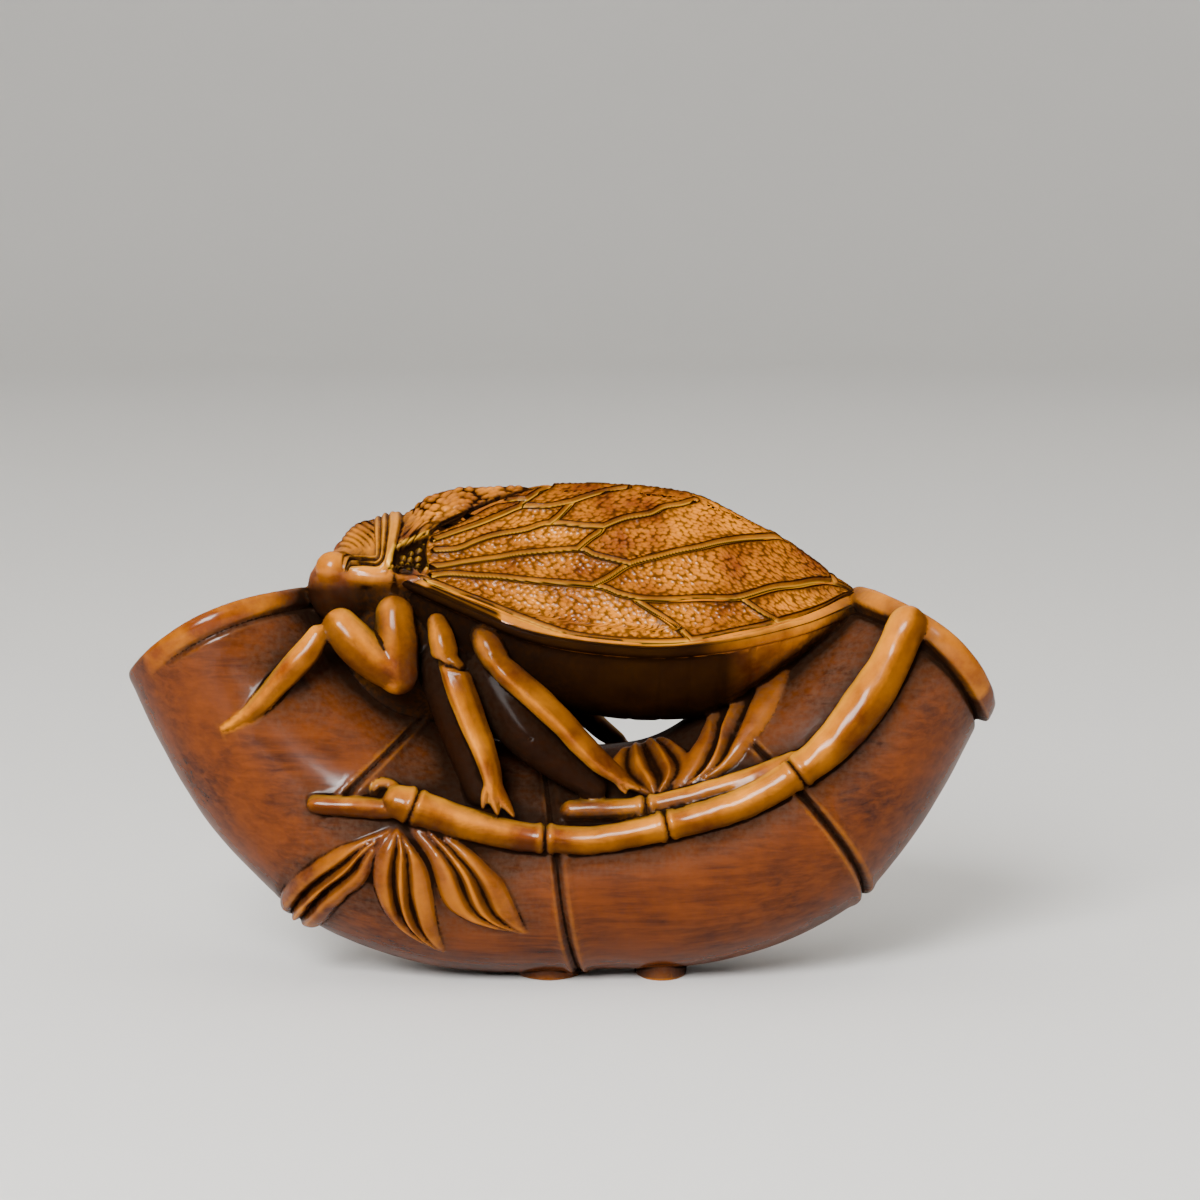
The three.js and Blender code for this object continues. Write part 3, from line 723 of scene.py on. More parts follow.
# %% Refine the head
form = np.rint(skin.mark("form")).astype(int)
fine = np.isin(form, HEAD_FORMS) & (skin.points[:, 2] > 28)
share = np.clip(skin.mark("turn_cos").astype(float) / ROOF, 0, 1)
fine &= (form != BODY) | (skin.mark("along") < border_at(share) + 0.4)
edit_points(block, fine, bpy.ops.mesh.subdivide, number_cuts=1)
skin = Skin(block)
skin.points = skin.averaged(skin.points, 3)
form = np.rint(skin.mark("form")).astype(int)
blend = skin.averaged((np.isin(form, HEAD_FORMS) & (form != BODY)) * 1.0, 6)[:, None]
skin.points += blend * (skin.averaged(skin.points, 45) - skin.points)
along, turn_cos, turn_sin = (skin.mark(key).astype(float) for key in ("along", "turn_cos", "turn_sin"))
kind = np.array(kinds)[form]
print("refined to", skin.count, "points")

# %% [markdown]
# Gouge work: the wood as a whole
#
# Slow waves of a few hundredths of a millimetre give the wood its hand-cut look. From here on, "relief"
# gathers how far each point is pushed out, and "cut" how dark the stain and the painted shade lie in
# it. Lines and small scales are drawn by their distance from each point, in millimetres.


# %% Hand-cut waves
def waves(points, long, seed, count=7):
    """Slow, even noise between about -1 and 1, made from a few sine waves."""
    turns = np.random.default_rng(seed)
    ways = turns.normal(size=(count, 3))
    ways /= np.linalg.norm(ways, axis=1, keepdims=True)
    starts = turns.uniform(0, 2 * math.pi, count)
    total = sum(np.sin(points @ (way * 2 * math.pi / long) + start) for way, start in zip(ways, starts))
    return total / math.sqrt(count)


def distances(points, line):
    """Distance from each of the flat points to the nearest point of line."""
    tree = kdtree.KDTree(len(line))
    for i, (a, b) in enumerate(line):
        tree.insert((a, b, 0), i)
    tree.balance()
    return np.array([tree.find((a, b, 0))[2] for a, b in points])


def scattered(low, high, apart, seed, stretch=1.0):
    """Points scattered evenly over a rectangle, as a jittered honeycomb."""
    us, vs = np.arange(low[0], high[0], apart * stretch), np.arange(low[1], high[1], apart * 0.87)
    u, v = np.meshgrid(us, vs)
    u = u + apart * stretch / 2 * (np.arange(len(vs)) % 2)[:, None]
    points = np.stack([u.ravel(), v.ravel()], axis=1)
    return points + np.random.default_rng(seed).uniform(-0.3, 0.3, points.shape) * [apart * stretch, apart]


relief, cut, pale = np.zeros((3, skin.count))
relief += 0.04 * waves(skin.points, 9, 1) + 0.01 * waves(skin.points, 2.6, 2)
print("the hand-cut waves reach", round(float(np.abs(relief).max()), 3), "mm")

# %% [markdown]
# Gouge work: head, collar and thorax
#
# These lines were drawn on the block from the side, as the photo shows them, so they are cut here the
# same way: "seen" is a point's place in that side view, in millimetres. Three ridges of the collar run
# down and turn forward to the eye. The thorax is wrinkled, the crown has hair lines, and the wing's
# hinge is a small dark pocket with beads of wood left in it.

# %% Side view
RISE_COS, RISE_SIN = 0.9945, 0.1045  # of the camera's rise
AIM_UP = 28.84  # how far up the camera's aim is in the side view
nearer = 1 + np.abs(skin.points[:, 1]) * METRES / CAMERA_AWAY
seen_x = AIM[0] + (skin.points[:, 0] - AIM[0]) * nearer
seen_up = RISE_COS * skin.points[:, 2] - RISE_SIN * np.abs(skin.points[:, 1])
seen_up = AIM[2] + (seen_up - AIM_UP) * nearer
normals = skin.normals()
COLLAR_IN = [(32, -14.4), (33.1, -14.42), (34, -14.48), (35.2, -14.55), (37, -14.6)]
COLLAR_OUT = [(31, -13.0), (32.1, -13.08), (33.0, -12.9), (34, -12.63), (35, -12.44), (37, -12.4)]
COLLAR_RIDGES = [(0, -0.12), (0.15, 0.1), (0.26, -0.1), (0.42, 0.14), (0.53, -0.1), (0.66, 0.14),
                 (0.76, 0.08), (0.9, 0.12), (1.05, -0.1), (1.2, 0)]
head = np.isin(form, HEAD_FORMS) & (skin.points[:, 0] < -1) & (skin.points[:, 2] > 28.5)


def collar_relief(x, up):
    inner, outer = through(COLLAR_IN)(up), through(COLLAR_OUT)(up)
    behind = np.maximum((x - inner) / (outer - inner), 0)
    below = np.maximum((32.5 - up) / 1.6, 0) * smoothstep(x, -17.0, -16.2)
    c = np.hypot(behind, below)
    band = smoothstep(c, -0.02, 0.02) * (1 - smoothstep(c, 1.1, 1.2)) * smoothstep(up, 31.0, 31.4)
    return band * through(COLLAR_RIDGES)(c), band * (c > 0.001), c


def polygon_distance(x, y, corners):
    """Signed distance to a convex polygon, negative inside. Corners go round clockwise."""
    corners = np.array(corners, float)
    far = np.full(len(x), -1e9)
    for a, b in zip(corners, np.roll(corners, -1, axis=0)):
        way = (b - a) / np.linalg.norm(b - a)
        far = np.maximum(far, (x - a[0]) * -way[1] + (y - a[1]) * way[0])
    return far


# %% Head relief
HINGE = [(-12.75, 32.91), (-10.45, 33.94), (-10.15, 33.65), (-10.15, 32.98), (-10.45, 31.76), (-10.9, 31.05),
         (-12.63, 30.98), (-13.02, 31.2), (-13.02, 32.2)]
BEADS = [(-11.54, 32.85), (-10.96, 33.1), (-11.6, 32.4), (-11.02, 32.46), (-11.79, 31.92),
         (-11.41, 31.87), (-11.02, 31.88), (-11.73, 31.5), (-11.15, 31.42), (-12.25, 32.02),
         (-12.5, 31.56), (-10.67, 33.42), (-12.1, 32.5)]
WRINKLE_STRETCH = 2.0  # how much longer than wide the wrinkles of the thorax are
x, up = seen_x[head], seen_up[head]
collar, on_band, c = collar_relief(x, up)
share = np.clip((ridge_at(x) - skin.points[head, 2]) / (ridge_at(x) - margin_at(x)), 0, 1)
lean = (border_at(share + 0.01) - border_at(share - 0.01)) / 0.3
to_wing = (border_at(share) - x) / np.sqrt(1 + lean ** 2)  # positive on the thorax
thorax_zone = smoothstep(c, 1.0, 1.15) * smoothstep(to_wing, 0.1, 0.4) * smoothstep(up, 31.2, 31.8)
wrinkles = scattered((-14, -1), (-1, 14), 0.38, seed=11, stretch=WRINKLE_STRETCH)
laid_out = np.stack([(x + 0.3 * np.sin(2.1 * up)) / WRINKLE_STRETCH,
                     (ridge_at(x) - up) * 1.05 + 0.12 * np.sin(2.2 * x)], axis=1)
tile = distances(laid_out, wrinkles / [WRINKLE_STRETCH, 1])
hinge = polygon_distance(x, up, HINGE)
beads = distances(np.stack([x, up], axis=1), np.array(BEADS))
pocket = smoothstep(-hinge, -0.05, 0.16)
bead = np.exp(-(beads / 0.2) ** 2)
crown_zone = (np.hypot(x + 16.0, up - 33.3) < 2.6) * (1 - on_band) * smoothstep(up, 32.6, 33.2)
hair = np.sin(2 * math.pi * np.hypot(x + 16.9, up - 32.0) / 0.42)
beside_wing = hill(to_wing, 0.16, 0.16) * smoothstep(c, 1.0, 1.15)
height = collar * smoothstep(-x, 11.2, 12.0)
height += 0.12 * (0.5 - smoothstep(tile, 0.05, 0.22)) * thorax_zone * (1 - pocket)
height -= 0.35 * beside_wing * (1 - pocket) * smoothstep(up, 31.2, 31.8)
height += (crown_zone * 0.03 * hair - 0.5 * pocket + 0.36 * pocket * bead
           + 0.16 * hill(hinge, 0.28, 0.2) * (1 - pocket))
relief[head] += height
print("head relief from", round(height.min(), 2), "to", round(height.max(), 2), "mm")

# %% Head stain and painted shade
dark = smoothstep(-collar, 0.02, 0.08) * on_band * 0.8 + 0.9 * pocket * (1 - bead)
# Beside the wing's border the groove is darkened, as patina and as painted shade.
dark += (0.6 * thorax_zone * smoothstep(tile, 0.14, 0.22) + 0.8 * beside_wing
         + 0.5 * crown_zone * smoothstep(-hair, 0, 0.8))
blotched = 0.5 + 0.5 * waves(skin.points[head], 3.0, 8)
dark += 0.5 * (thorax_zone + crown_zone) * blotched * smoothstep(tile, 0.02, 0.14)
side = np.sign(skin.points[head, 1])
eyes = np.stack([eye_x(side), side * EYE[1], 0 * x + EYE[2]], axis=1)
to_eye = np.linalg.norm(skin.points[head] - eyes, axis=1)
# Painted shade: a dark ring in the crease round the base of each eye.
dark += 0.9 * hill(to_eye, EYE_SIZE + 0.45, 0.3) * smoothstep(up, 31.5, 32.0)
# Painted shade: the head's forms darken from the ledge down.
dark += 0.85 * smoothstep(31.3 - up, 0, 1.6) * (form[head] != BODY)
cut[head] = np.maximum(cut[head], dark)
# The beads in the hinge pocket are pale, partly as worn wood and partly as a painted highlight.
pale[head] = np.maximum(pale[head], 0.2 * smoothstep(collar, 0.02, 0.1) * on_band + 0.8 * pocket * bead)
pale[head] = np.maximum(pale[head], 0.8 * hill(hinge, 0.2, 0.16) * (up > 31.3))
clypeus = form == numbers["clypeus"]
relief[clypeus] += 0.07 * np.cos(2 * math.pi * skin.points[clypeus, 2] / 0.62)

# %% [markdown]
# Gouge work: legs, twig and leaves
#
# The middle leg's knee is a cut across it. Each node of the twig is a fine cut between two small
# swellings, on a plane across the twig. The abdomen under the wings has faint rings, and painted shade
# makes it dark.


# %% Cuts across rods
CUT_REACH = 3.2  # how far from its middle a cut ring goes, so that it stays on its own rod


def cut_ring(names, place, way, depth=0.2, wide=0.13, swell=0.1):
    """A cut ring on the named forms, in the plane through place across way."""
    way = np.array(way, float) / np.linalg.norm(way)
    off = (skin.points - place) @ way
    near = np.isin(form, [numbers[name] for name in names])
    near &= np.linalg.norm(skin.points - place, axis=1) < CUT_REACH
    height = swell * (hill(off, -0.42, 0.26) + hill(off, 0.42, 0.26)) - depth * hill(off, 0, wide)
    relief[near] += height[near]
    cut[near] = np.maximum(cut[near], hill(off[near], 0, wide * 1.2))


def twig_place(s, route):
    stops = sorted(route)
    degrees = np.interp([s, s + 0.4], [p[0] for p in stops], [p[1] for p in stops])
    a, b = on_culm(np.array([s, s + 0.4]), np.radians(degrees), 0.5)
    return a, b - a


TWIG_NODES = {"twig": (50.6, 40.3, 32.6, 21.5), "branch": (39.2,), "far_twig": (50.6, 38, 28)}
for name, nodes in TWIG_NODES.items():
    for s in nodes:
        cut_ring([name], *twig_place(s, rods_on_culm[name][0]))
for side in (1, -1):
    knee = [f"middle_thigh_{side}", f"middle_shin_{side}"]
    cut_ring(knee, (-8.9, -8.6 * side, 25.2), (0.25, 0, 1), depth=0.3, wide=0.12, swell=0.05)

# %% Belly, leaves and rods
BELLY_RING = 2.3  # from one ring of the abdomen to the next
hull = (form == BODY) & (turn_cos > LIP)
relief[hull] -= 0.06 * hill((along[hull] + 0.6) % BELLY_RING, BELLY_RING / 2, 0.25)
# Painted shade under the wings: the belly is darkest at the front and lighter towards the tail.
cut[hull] = 1.1 - smoothstep(along[hull], 9, 21)
carved_plant = (kind == TWIG) | (kind == LEAF)
relief[carved_plant] += 0.02 * waves(skin.points[carved_plant], 1.7, 3)
for name, ribs in leaf_ribs.items():
    blade = form == numbers[name]
    # The deep cuts beside the ribs are darkened, as stain and as painted shade.
    stain_and_shade = 0.95 * hill(from_rib(turn_cos[blade], ribs), BESIDE_RIB, 0.07)
    cut[blade] = stain_and_shade * smoothstep(turn_sin[blade], 0.3, 0.8)
# The webs behind the legs are darkened as painted shade.
cut[kind == WEB] = 0.85
legs = (form >= first_leg) & (kind == CICADA)
relief[legs] += 0.02 * waves(skin.points[legs], 2.2, 4)
rods = legs | (kind == TWIG)
# Painted shade darkens the flanks of the legs and the twig, away from their outer crest.
cut[rods] = np.maximum(cut[rods], 0.65 * smoothstep(-turn_cos[rods], -0.5, 0.25))
# Their outer crest is paler, partly as worn wood and partly as a painted highlight.
pale[rods] = np.maximum(pale[rods], 0.3 * smoothstep(turn_cos[rods], 0.7, 1.0))
skin.points += normals * relief[:, None]
skin.points[:, 2] = np.maximum(skin.points[:, 2], 0)
print("deepest cut", round(relief.min(), 2), "mm, highest ridge", round(relief.max(), 2), "mm")

# %% [markdown]
# Stain, painted shade, wear and colour masks
#
# Old boxwood is dark where hands and cloth never reach and pale where they do. The same darkening in
# the hollows is also painted shade, where shade falls. Both are read from the shape: a point below the
# average of its surroundings is in a cut, one above it is on an edge. The masks are kept as attributes
# on the points, which the material reads.

# %% Masks from the shape
def lay_masks(skin, cut, tone, pale, reach=(6, 40)):
    """Stain with painted shade, wear and tone of a piece, from how each point stands to its surroundings."""
    around, smoothed, normals = [], skin.points, skin.normals()
    for times in reach:
        smoothed = skin.averaged(smoothed, times)
        around.append(np.einsum("ij,ij->i", skin.points - smoothed, normals))
    fine, broad = around
    stain_and_shade = smoothstep(-fine, 0.012, 0.075) * 0.8 + smoothstep(-broad, 0.025, 0.17)
    wear = smoothstep(fine, 0.008, 0.05) * 0.7 + smoothstep(broad, 0.09, 0.4) * 0.6
    stain_and_shade = np.clip(np.maximum(stain_and_shade, cut), 0, 1)
    mark(skin.piece, cut=stain_and_shade, worn=np.clip(wear, 0, 1), tone=tone, pale=np.clip(pale, 0, 1))
    skin.write()
    print(skin.piece.name, "in cuts:", round(float((stain_and_shade > 0.5).mean()), 3))


tone = GOLDEN[kind]
at_ends = (form == numbers["culm"]) & ((along < 0.3) | (along > RIGHT_START))
tone[at_ends & (turn_cos > -0.7)] = 0.7
tone = skin.averaged(tone, 3)
mark(block, leaf=skin.averaged((kind == LEAF) * 1.0, 3))
lay_masks(skin, cut, tone, pale)

# %% [markdown]
# Thinning the mesh
#
# The skin has far more points than smooth wood needs. The Decimate modifier collapses edges where the
# wood is flat and keeps them along ridges and cuts, which leaves a mesh that is easy to handle.

# %% Decimate
MOST_FACES = 196000


def drop_marks(piece, *keys):
    for key in keys:
        if key in piece.data.attributes:
            piece.data.attributes.remove(piece.data.attributes[key])


BENCH_MARKS = ("form", "along", "turn_cos", "turn_sin")
drop_marks(block, *BENCH_MARKS)
while block.data.uv_layers:
    block.data.uv_layers.remove(block.data.uv_layers[0])
thin = block.modifiers.new("thin", "DECIMATE")
thin.ratio = min(1, MOST_FACES / (2 * len(block.data.polygons)))
thin.use_collapse_triangulate = True
bpy.ops.object.modifier_apply(modifier=thin.name)
print("carving has", len(block.data.polygons), "triangles")

# %% [markdown]
# Shadowed places
#
# The darkest colour sits where no light or cloth gets in: between the legs, under the wings and beside
# the twig. It is painted shade, with some dust and patina. A fan of short rays from each point shows
# how much is closed off by other wood.

# %% Closed-in mask
RAY_LONG = 8.0
RAY_RINGS = ((0.55, 4), (1.05, 6), (1.35, 6))  # tilt from straight out, and how many rays
rays = [(0.0, 0.0, 1.0)]
for tilt, many in RAY_RINGS:
    for turn in np.arange(many) * 2 * math.pi / many + tilt:
        rays.append((math.sin(tilt) * math.cos(turn), math.sin(tilt) * math.sin(turn), math.cos(tilt)))
corners = read(block.data.loops, "vertex_index", len(block.data.loops), 1, np.int32).reshape(-1, 3)
walls = bvhtree.BVHTree.FromPolygons(Skin(block).points.tolist(), corners.tolist())


def mark_closed(skin):
    """How much of a fan of short rays is stopped by the block, at each point of a piece."""
    normals = skin.normals()
    side_way = np.cross(normals, [0.31, 0.52, 0.79])
    side_way /= np.linalg.norm(side_way, axis=1, keepdims=True)
    third_way = np.cross(normals, side_way)
    closed = np.zeros(skin.count)
    starts = [Vector(point) for point in skin.points + 0.03 * normals]
    for a, b, c in rays:
        ways = a * side_way + b * third_way + c * normals
        free = [walls.ray_cast(p, Vector(way), RAY_LONG)[3] or RAY_LONG for p, way in zip(starts, ways)]
        closed += [1 - reach / RAY_LONG for reach in free]
    closed = skin.averaged(closed / len(rays), 5)
    if "leaf" in skin.mesh.attributes:
        closed *= 1 - 0.55 * skin.mark("leaf")
    mark(skin.piece, closed=closed)
    print(skin.piece.name, "is closed in by", round(float(closed.mean()), 3), "on average")


mark_closed(Skin(block))

# %% [markdown]
# The wings
#
# The wings are the finest work, so each is a piece of its own: a dense skin over the seat that was cut
# for it in the block. The veins are laid out on the unrolled wing: x along the insect, and the share of
# the way down from the ridge. They stand up as thin cords with a cut on both sides. The cells between
# them are cushioned and covered with small scales. Distances are millimetres of wing, so every vein
# keeps its width on the curved roof.

# %% Wing veins
VEINS = {  # (x, share of the way down) along each vein
    "front": [(-9.9, 0.4), (-7.6, 0.27), (-6.1, 0.17), (-5.1, 0.12), (-4.2, 0.07), (-2.8, 0.03), (-0.3, 0)],
    "front_fork": [(-5.1, 0.12), (-3.6, 0.1), (-2.9, 0.1)],
    "second": [(-9.7, 0.47), (-7.6, 0.36), (-6, 0.28), (-4.8, 0.22), (-3.1, 0.15), (-1.3, 0.15), (0.6, 0.12),
               (1.7, 0.09), (3.3, 0.05), (5, 0.02)],
    "third": [(-9.6, 0.58), (-7.9, 0.53), (-6.3, 0.43), (-4.8, 0.36), (-2.8, 0.31), (-1, 0.26), (1.8, 0.27),
              (3.1, 0.27)],
    "fourth": [(-9.8, 0.75), (-8.7, 0.7), (-7.3, 0.63), (-5, 0.54), (-2.8, 0.47), (1.2, 0.42), (2.5, 0.45),
               (5.2, 0.49)],
    "fifth": [(2.3, 0.64), (3.6, 0.58), (5.2, 0.49), (7.4, 0.43), (8.9, 0.39), (10.5, 0.35), (12, 0.29),
              (13.6, 0.22), (15.1, 0.15), (16.4, 0.07)],
    "sixth": [(-9.8, 0.84), (-8.4, 0.77), (-6.5, 0.72), (-3.5, 0.66), (2.3, 0.64), (4.4, 0.68), (6.6, 0.7),
              (10.4, 0.69), (13.4, 0.68), (16.1, 0.58), (18.1, 0.5), (20.2, 0.33), (21.8, 0.27), (22.7, 0.3)],
    "edge": [(-10.3, 0.89), (-9.5, 0.91), (-5, 0.91), (-2.7, 0.92), (-1.2, 0.94), (1.8, 0.965), (9.6, 0.96),
             (13.4, 0.94), (16.4, 0.92), (20.3, 0.83), (22.4, 0.5)],
    "cross_one": [(-3.1, 0.15), (-2.8, 0.11), (-1.7, 0.05), (-0.9, 0.02)],
    "cross_two": [(-0.8, 0.25), (-0.2, 0.21), (0.7, 0.13)],
    "cross_three": [(1.3, 0.41), (2.1, 0.35), (2.9, 0.3), (3.1, 0.27)],
    "cross_four": [(3.1, 0.27), (4.8, 0.21), (6.7, 0.17), (7.8, 0.12), (9, 0.09), (10.2, 0.045)],
    "branch_one": [(5.6, 0.71), (6.6, 0.76), (7.8, 0.82), (8.9, 0.89), (9.7, 0.96)],
    "branch_two": [(13.6, 0.69), (15, 0.8), (16.4, 0.92)],
    "tip_arc": [(16.4, 0.07), (17.6, 0.035), (18.7, 0.03), (19.9, 0.05), (20.6, 0.12), (20.8, 0.24),
                (20.2, 0.33)],
}
VEIN_HALF, VEIN_FOOT, VEIN_PROUD, VEIN_CUT = 0.02, 0.25, 0.23, 0.12
CELL_RISE, SCALE_RISE = 0.14, 0.09
WING_LIFT = 0.06
SCALE_STRETCH = 1.45  # how much longer than wide the scales are
stations = np.linspace(WING_START, WING_END, 160)
shares = np.linspace(0, 1, 80)
lines = on_wing(stations[:, None] + 0 * shares, np.ones((len(stations), 1)) * shares)
steps = np.linalg.norm(np.diff(lines, axis=1), axis=2)
down_table = np.concatenate([np.zeros((len(stations), 1)), np.cumsum(steps, axis=1)], axis=1)


def way_down(x, share):
    """Length of wing from the ridge down to share, in millimetres."""
    row = (np.asarray(x, float) - WING_START) / (WING_END - WING_START) * (len(stations) - 1)
    column = np.asarray(share, float) * (len(shares) - 1)
    i = np.clip(np.floor(row).astype(int), 0, len(stations) - 2)
    j = np.clip(np.floor(column).astype(int), 0, len(shares) - 2)
    p, q = np.clip(row - i, 0, 1), np.clip(column - j, 0, 1)
    return (down_table[i, j] * (1 - p) * (1 - q) + down_table[i + 1, j] * p * (1 - q)
            + down_table[i, j + 1] * (1 - p) * q + down_table[i + 1, j + 1] * p * q)


# %% Wing relief
edge_at = through(VEINS["edge"])
vein_points = []
for route in VEINS.values():
    line = smooth_route([(x, share, 0) for x, share in route], 0.02)
    vein_points.append(np.stack([line[:, 0], way_down(line[:, 0], line[:, 1])], axis=1))
vein_points = np.vstack(vein_points)
scales = scattered((WING_START, -0.5), (WING_END, 18), 0.36, seed=7, stretch=SCALE_STRETCH)
print(len(VEINS), "veins and", len(scales), "scales on a wing")


def wing_relief(x, share):
    """Height of the carving over the plain roof, and how pale and how dark each place is."""
    down = way_down(x, share)
    flat = np.stack([x, down], axis=1)
    to_vein = np.minimum(distances(flat, vein_points), np.where(x < 16.4, down, 1.0))
    to_edge = way_down(x, np.ones_like(x)) - down
    inner = 1 - smoothstep(share - edge_at(x), -0.004, 0.01)
    cord = np.maximum(1 - smoothstep(to_vein, VEIN_HALF, VEIN_FOOT), 0.7 * (1 - inner))
    cell = smoothstep(to_vein, 0.24, 0.4) * smoothstep(to_edge, 0.3, 0.5) * inner
    groove = hill(to_vein, 0.3, 0.12) * inner
    laid = np.stack([(x + 0.15 * np.sin(3 * down)) / SCALE_STRETCH, down + 0.12 * np.sin(1.7 * x)], axis=1)
    scale = distances(laid, scales / [SCALE_STRETCH, 1])
    strip = smoothstep(x, -10.3, -9.7) * (1 - smoothstep(x, -5.0, -4.4)) * hill(share, 0.957, 0.022)
    height = VEIN_PROUD * cord - VEIN_CUT * groove + CELL_RISE * smoothstep(to_vein, 0.24, 1.3)
    height += SCALE_RISE * (0.4 - smoothstep(scale, 0.05, 0.22)) * cell - 0.35 * strip
    patches = 0.5 + 0.5 * waves(np.stack([x, down, 0 * x], axis=1), 3.4, 6)
    shadow = (1 - smoothstep(to_vein, 0.25, 1.1 + 0.5 * patches)) * cell
    dark = np.maximum(groove * (1 - cord), 0.75 * smoothstep(scale, 0.12, 0.2) * cell)
    dark = np.maximum(dark, (0.5 * shadow + 0.3 * patches * cell) * smoothstep(scale, 0.04, 0.16))
    pale = np.maximum(1 - smoothstep(to_vein, 0.03, 0.17), 0.1 * (1 - inner))
    # Painted shade: the wing darkens near its lower edge, less towards the tail.
    rim = smoothstep(0.45 - to_edge, 0, 0.25) * (1 - 0.8 * smoothstep(x, 8, 19))
    return height, pale, np.max([dark, strip, rim], axis=0)


# %% Wing pieces
WING_ROWS, WING_ROUND = 465, 208
WING_TOP = 0.86  # share of the way round a wing that is its upper skin; the rest lies inside the block
WING_TUCK = 0.02


def place_wing(side):
    heart = np.array([4.0, side * 3.0, 31.0])

    def place(u, v):
        on_top = v <= WING_TOP
        half = np.where(on_top, (v / WING_TOP) ** 1.15, (1 - v) / (1 - WING_TOP)) * (LIP + WING_TUCK)
        start = border_at(np.clip(half / ROOF, 0, 1))
        along = np.clip((u - 0.006) / 0.988, 0, 1)
        x = start + (WING_END - start) * along
        tucked = 0.5 * smoothstep(half, LIP - 0.01, LIP + WING_TUCK)
        depth = np.where(on_top, tucked, smoothstep(1 - v, 0, 0.02) * 1.2)
        points = sink(body_skin(x, half, side), np.maximum(depth, 0.8 * (along == 0)))
        closing = smoothstep(np.minimum(u, 1 - u), 0, 0.006)
        return heart + (points - heart) * closing[:, None], x, half, np.where(on_top & (along > 0), side, 0)

    return place


def across_skin(x, half, side):
    """The direction straight out of the body's skin."""
    step = 0.004
    a = body_skin(x + 0.02, half, side) - body_skin(x - 0.02, half, side)
    b = body_skin(x, half + step, side) - body_skin(x, np.maximum(half - step, 0), side)
    way = np.cross(a, b) * -side[:, None]
    return way / np.linalg.norm(way, axis=1, keepdims=True)


wings = []
for name, side in (("wing_near", -1), ("wing_far", 1)):
    wing = Skin(wrap(name, WING_ROWS, WING_ROUND, place_wing(side), CICADA))
    x, half, face = (wing.mark(key).astype(float) for key in ("along", "turn_cos", "turn_sin"))
    share = np.clip(half / ROOF, 0, 1)
    height, cord, dark = wing_relief(x, share)
    rise = (height + WING_LIFT) * (face != 0) * (1 - smoothstep(half, ROOF, LIP))
    wing.points += across_skin(x, half, np.where(face, face, side)) * rise[:, None]
    lip = smoothstep(half, ROOF + 0.004, ROOF + 0.03)
    # Painted shade on the lip that turns under the wing, less towards the tail.
    stain_and_shade = np.maximum(dark, lip * (1.0 - 0.75 * smoothstep(x, 4, 19)))
    lay_masks(wing, stain_and_shade, 1.0, cord * (1 - lip), reach=(4, 60))
    mark_closed(wing)
    wings.append(wing.piece)
print("wings have", [2 * len(w.data.polygons) for w in wings], "triangles")

# %% [markdown]
# From the bench to the frame
#
# The block and the wings are moved and scaled once to metres, and the move is applied, so that each
# object sits at the origin with its place in its mesh, exactly where the CAD solid is.

# %% Place the pieces
for piece in (block, *wings):
    drop_marks(piece, *BENCH_MARKS, "leaf")
    piece.scale = (METRES,) * 3
    piece.location = tuple(-METRES * m for m in MIDDLE)
    deselect()
    piece.select_set(True)
    bpy.context.view_layer.objects.active = piece
    bpy.ops.object.transform_apply(location=True, rotation=True, scale=True)
    bpy.ops.object.shade_smooth()
    print(piece.name, "measures", [round(size / METRES, 1) for size in piece.dimensions], "mm")

# %% [markdown]
# Boxwood
#
# The wood is one material with three tones: red-brown bamboo, golden cicada, and a twig between them.
# Stretched noise gives it grain and blotches. The masks then lay dark stain and painted shade into cuts
# and closed-in places, with grey dust there too, and rub the edges and veins to a pale honey, with a
# painted highlight on the crests of legs and twig. Polish is a thin coat over dull wood, and it is weak
# where the wood is dark, because no cloth gets in there.


# %% Node helpers
def node(tree, kind, links=None, **values):
    made = tree.nodes.new(kind)
    for key, value in values.items():
        setattr(made, key, value)
    for socket, source in (links or {}).items():
        if isinstance(source, bpy.types.NodeSocket):
            tree.links.new(source, made.inputs[socket])
        else:
            made.inputs[socket].default_value = source
    return made


def mix(tree, share, a, b):
    return node(tree, "ShaderNodeMix", {0: share, 6: a, 7: b}, data_type="RGBA").outputs[2]


def math_node(tree, operation, *terms, clamp=False):
    made = node(tree, "ShaderNodeMath", dict(enumerate(terms)), operation=operation, use_clamp=clamp)
    return made.outputs[0]


def between(tree, value, low, high, least=0.0):
    """A mask that goes from least to 1 while value goes from low to high."""
    made = node(tree, "ShaderNodeValToRGB", {"Fac": value})
    for element, place, grey in zip(made.color_ramp.elements, (low, high), (least, 1.0)):
        element.position = place
        element.color = (grey, grey, grey, 1)
    return made.outputs["Color"]


def attribute(tree, name):
    return node(tree, "ShaderNodeAttribute", attribute_name=name).outputs["Fac"]


# %% Grain group
grain_group = bpy.data.node_groups.new("boxwood_grain", "ShaderNodeTree")
grain_group.interface.new_socket("Vector", in_out="INPUT", socket_type="NodeSocketVector")
for name in ("Streaks", "Blotches", "Fine"):
    grain_group.interface.new_socket(name, in_out="OUTPUT", socket_type="NodeSocketFloat")
inside = node(grain_group, "NodeGroupInput")
outside = node(grain_group, "NodeGroupOutput")
stretched = node(grain_group, "ShaderNodeMapping", {"Vector": inside.outputs[0], "Scale": (200, 1900, 1900)})
NOISES = {  # where each noise is read, and how
    "Streaks": (stretched, {"Scale": 1.0, "Detail": 5.0, "Roughness": 0.6, "Distortion": 0.4}),
    "Blotches": (inside, {"Scale": 190.0, "Detail": 6.0, "Roughness": 0.55}),
    "Fine": (inside, {"Scale": 2600.0, "Detail": 3.0}),
}
for name, (source, values) in NOISES.items():
    noise = node(grain_group, "ShaderNodeTexNoise", {"Vector": source.outputs[0], **values})
    grain_group.links.new(noise.outputs["Fac"], outside.inputs[name])
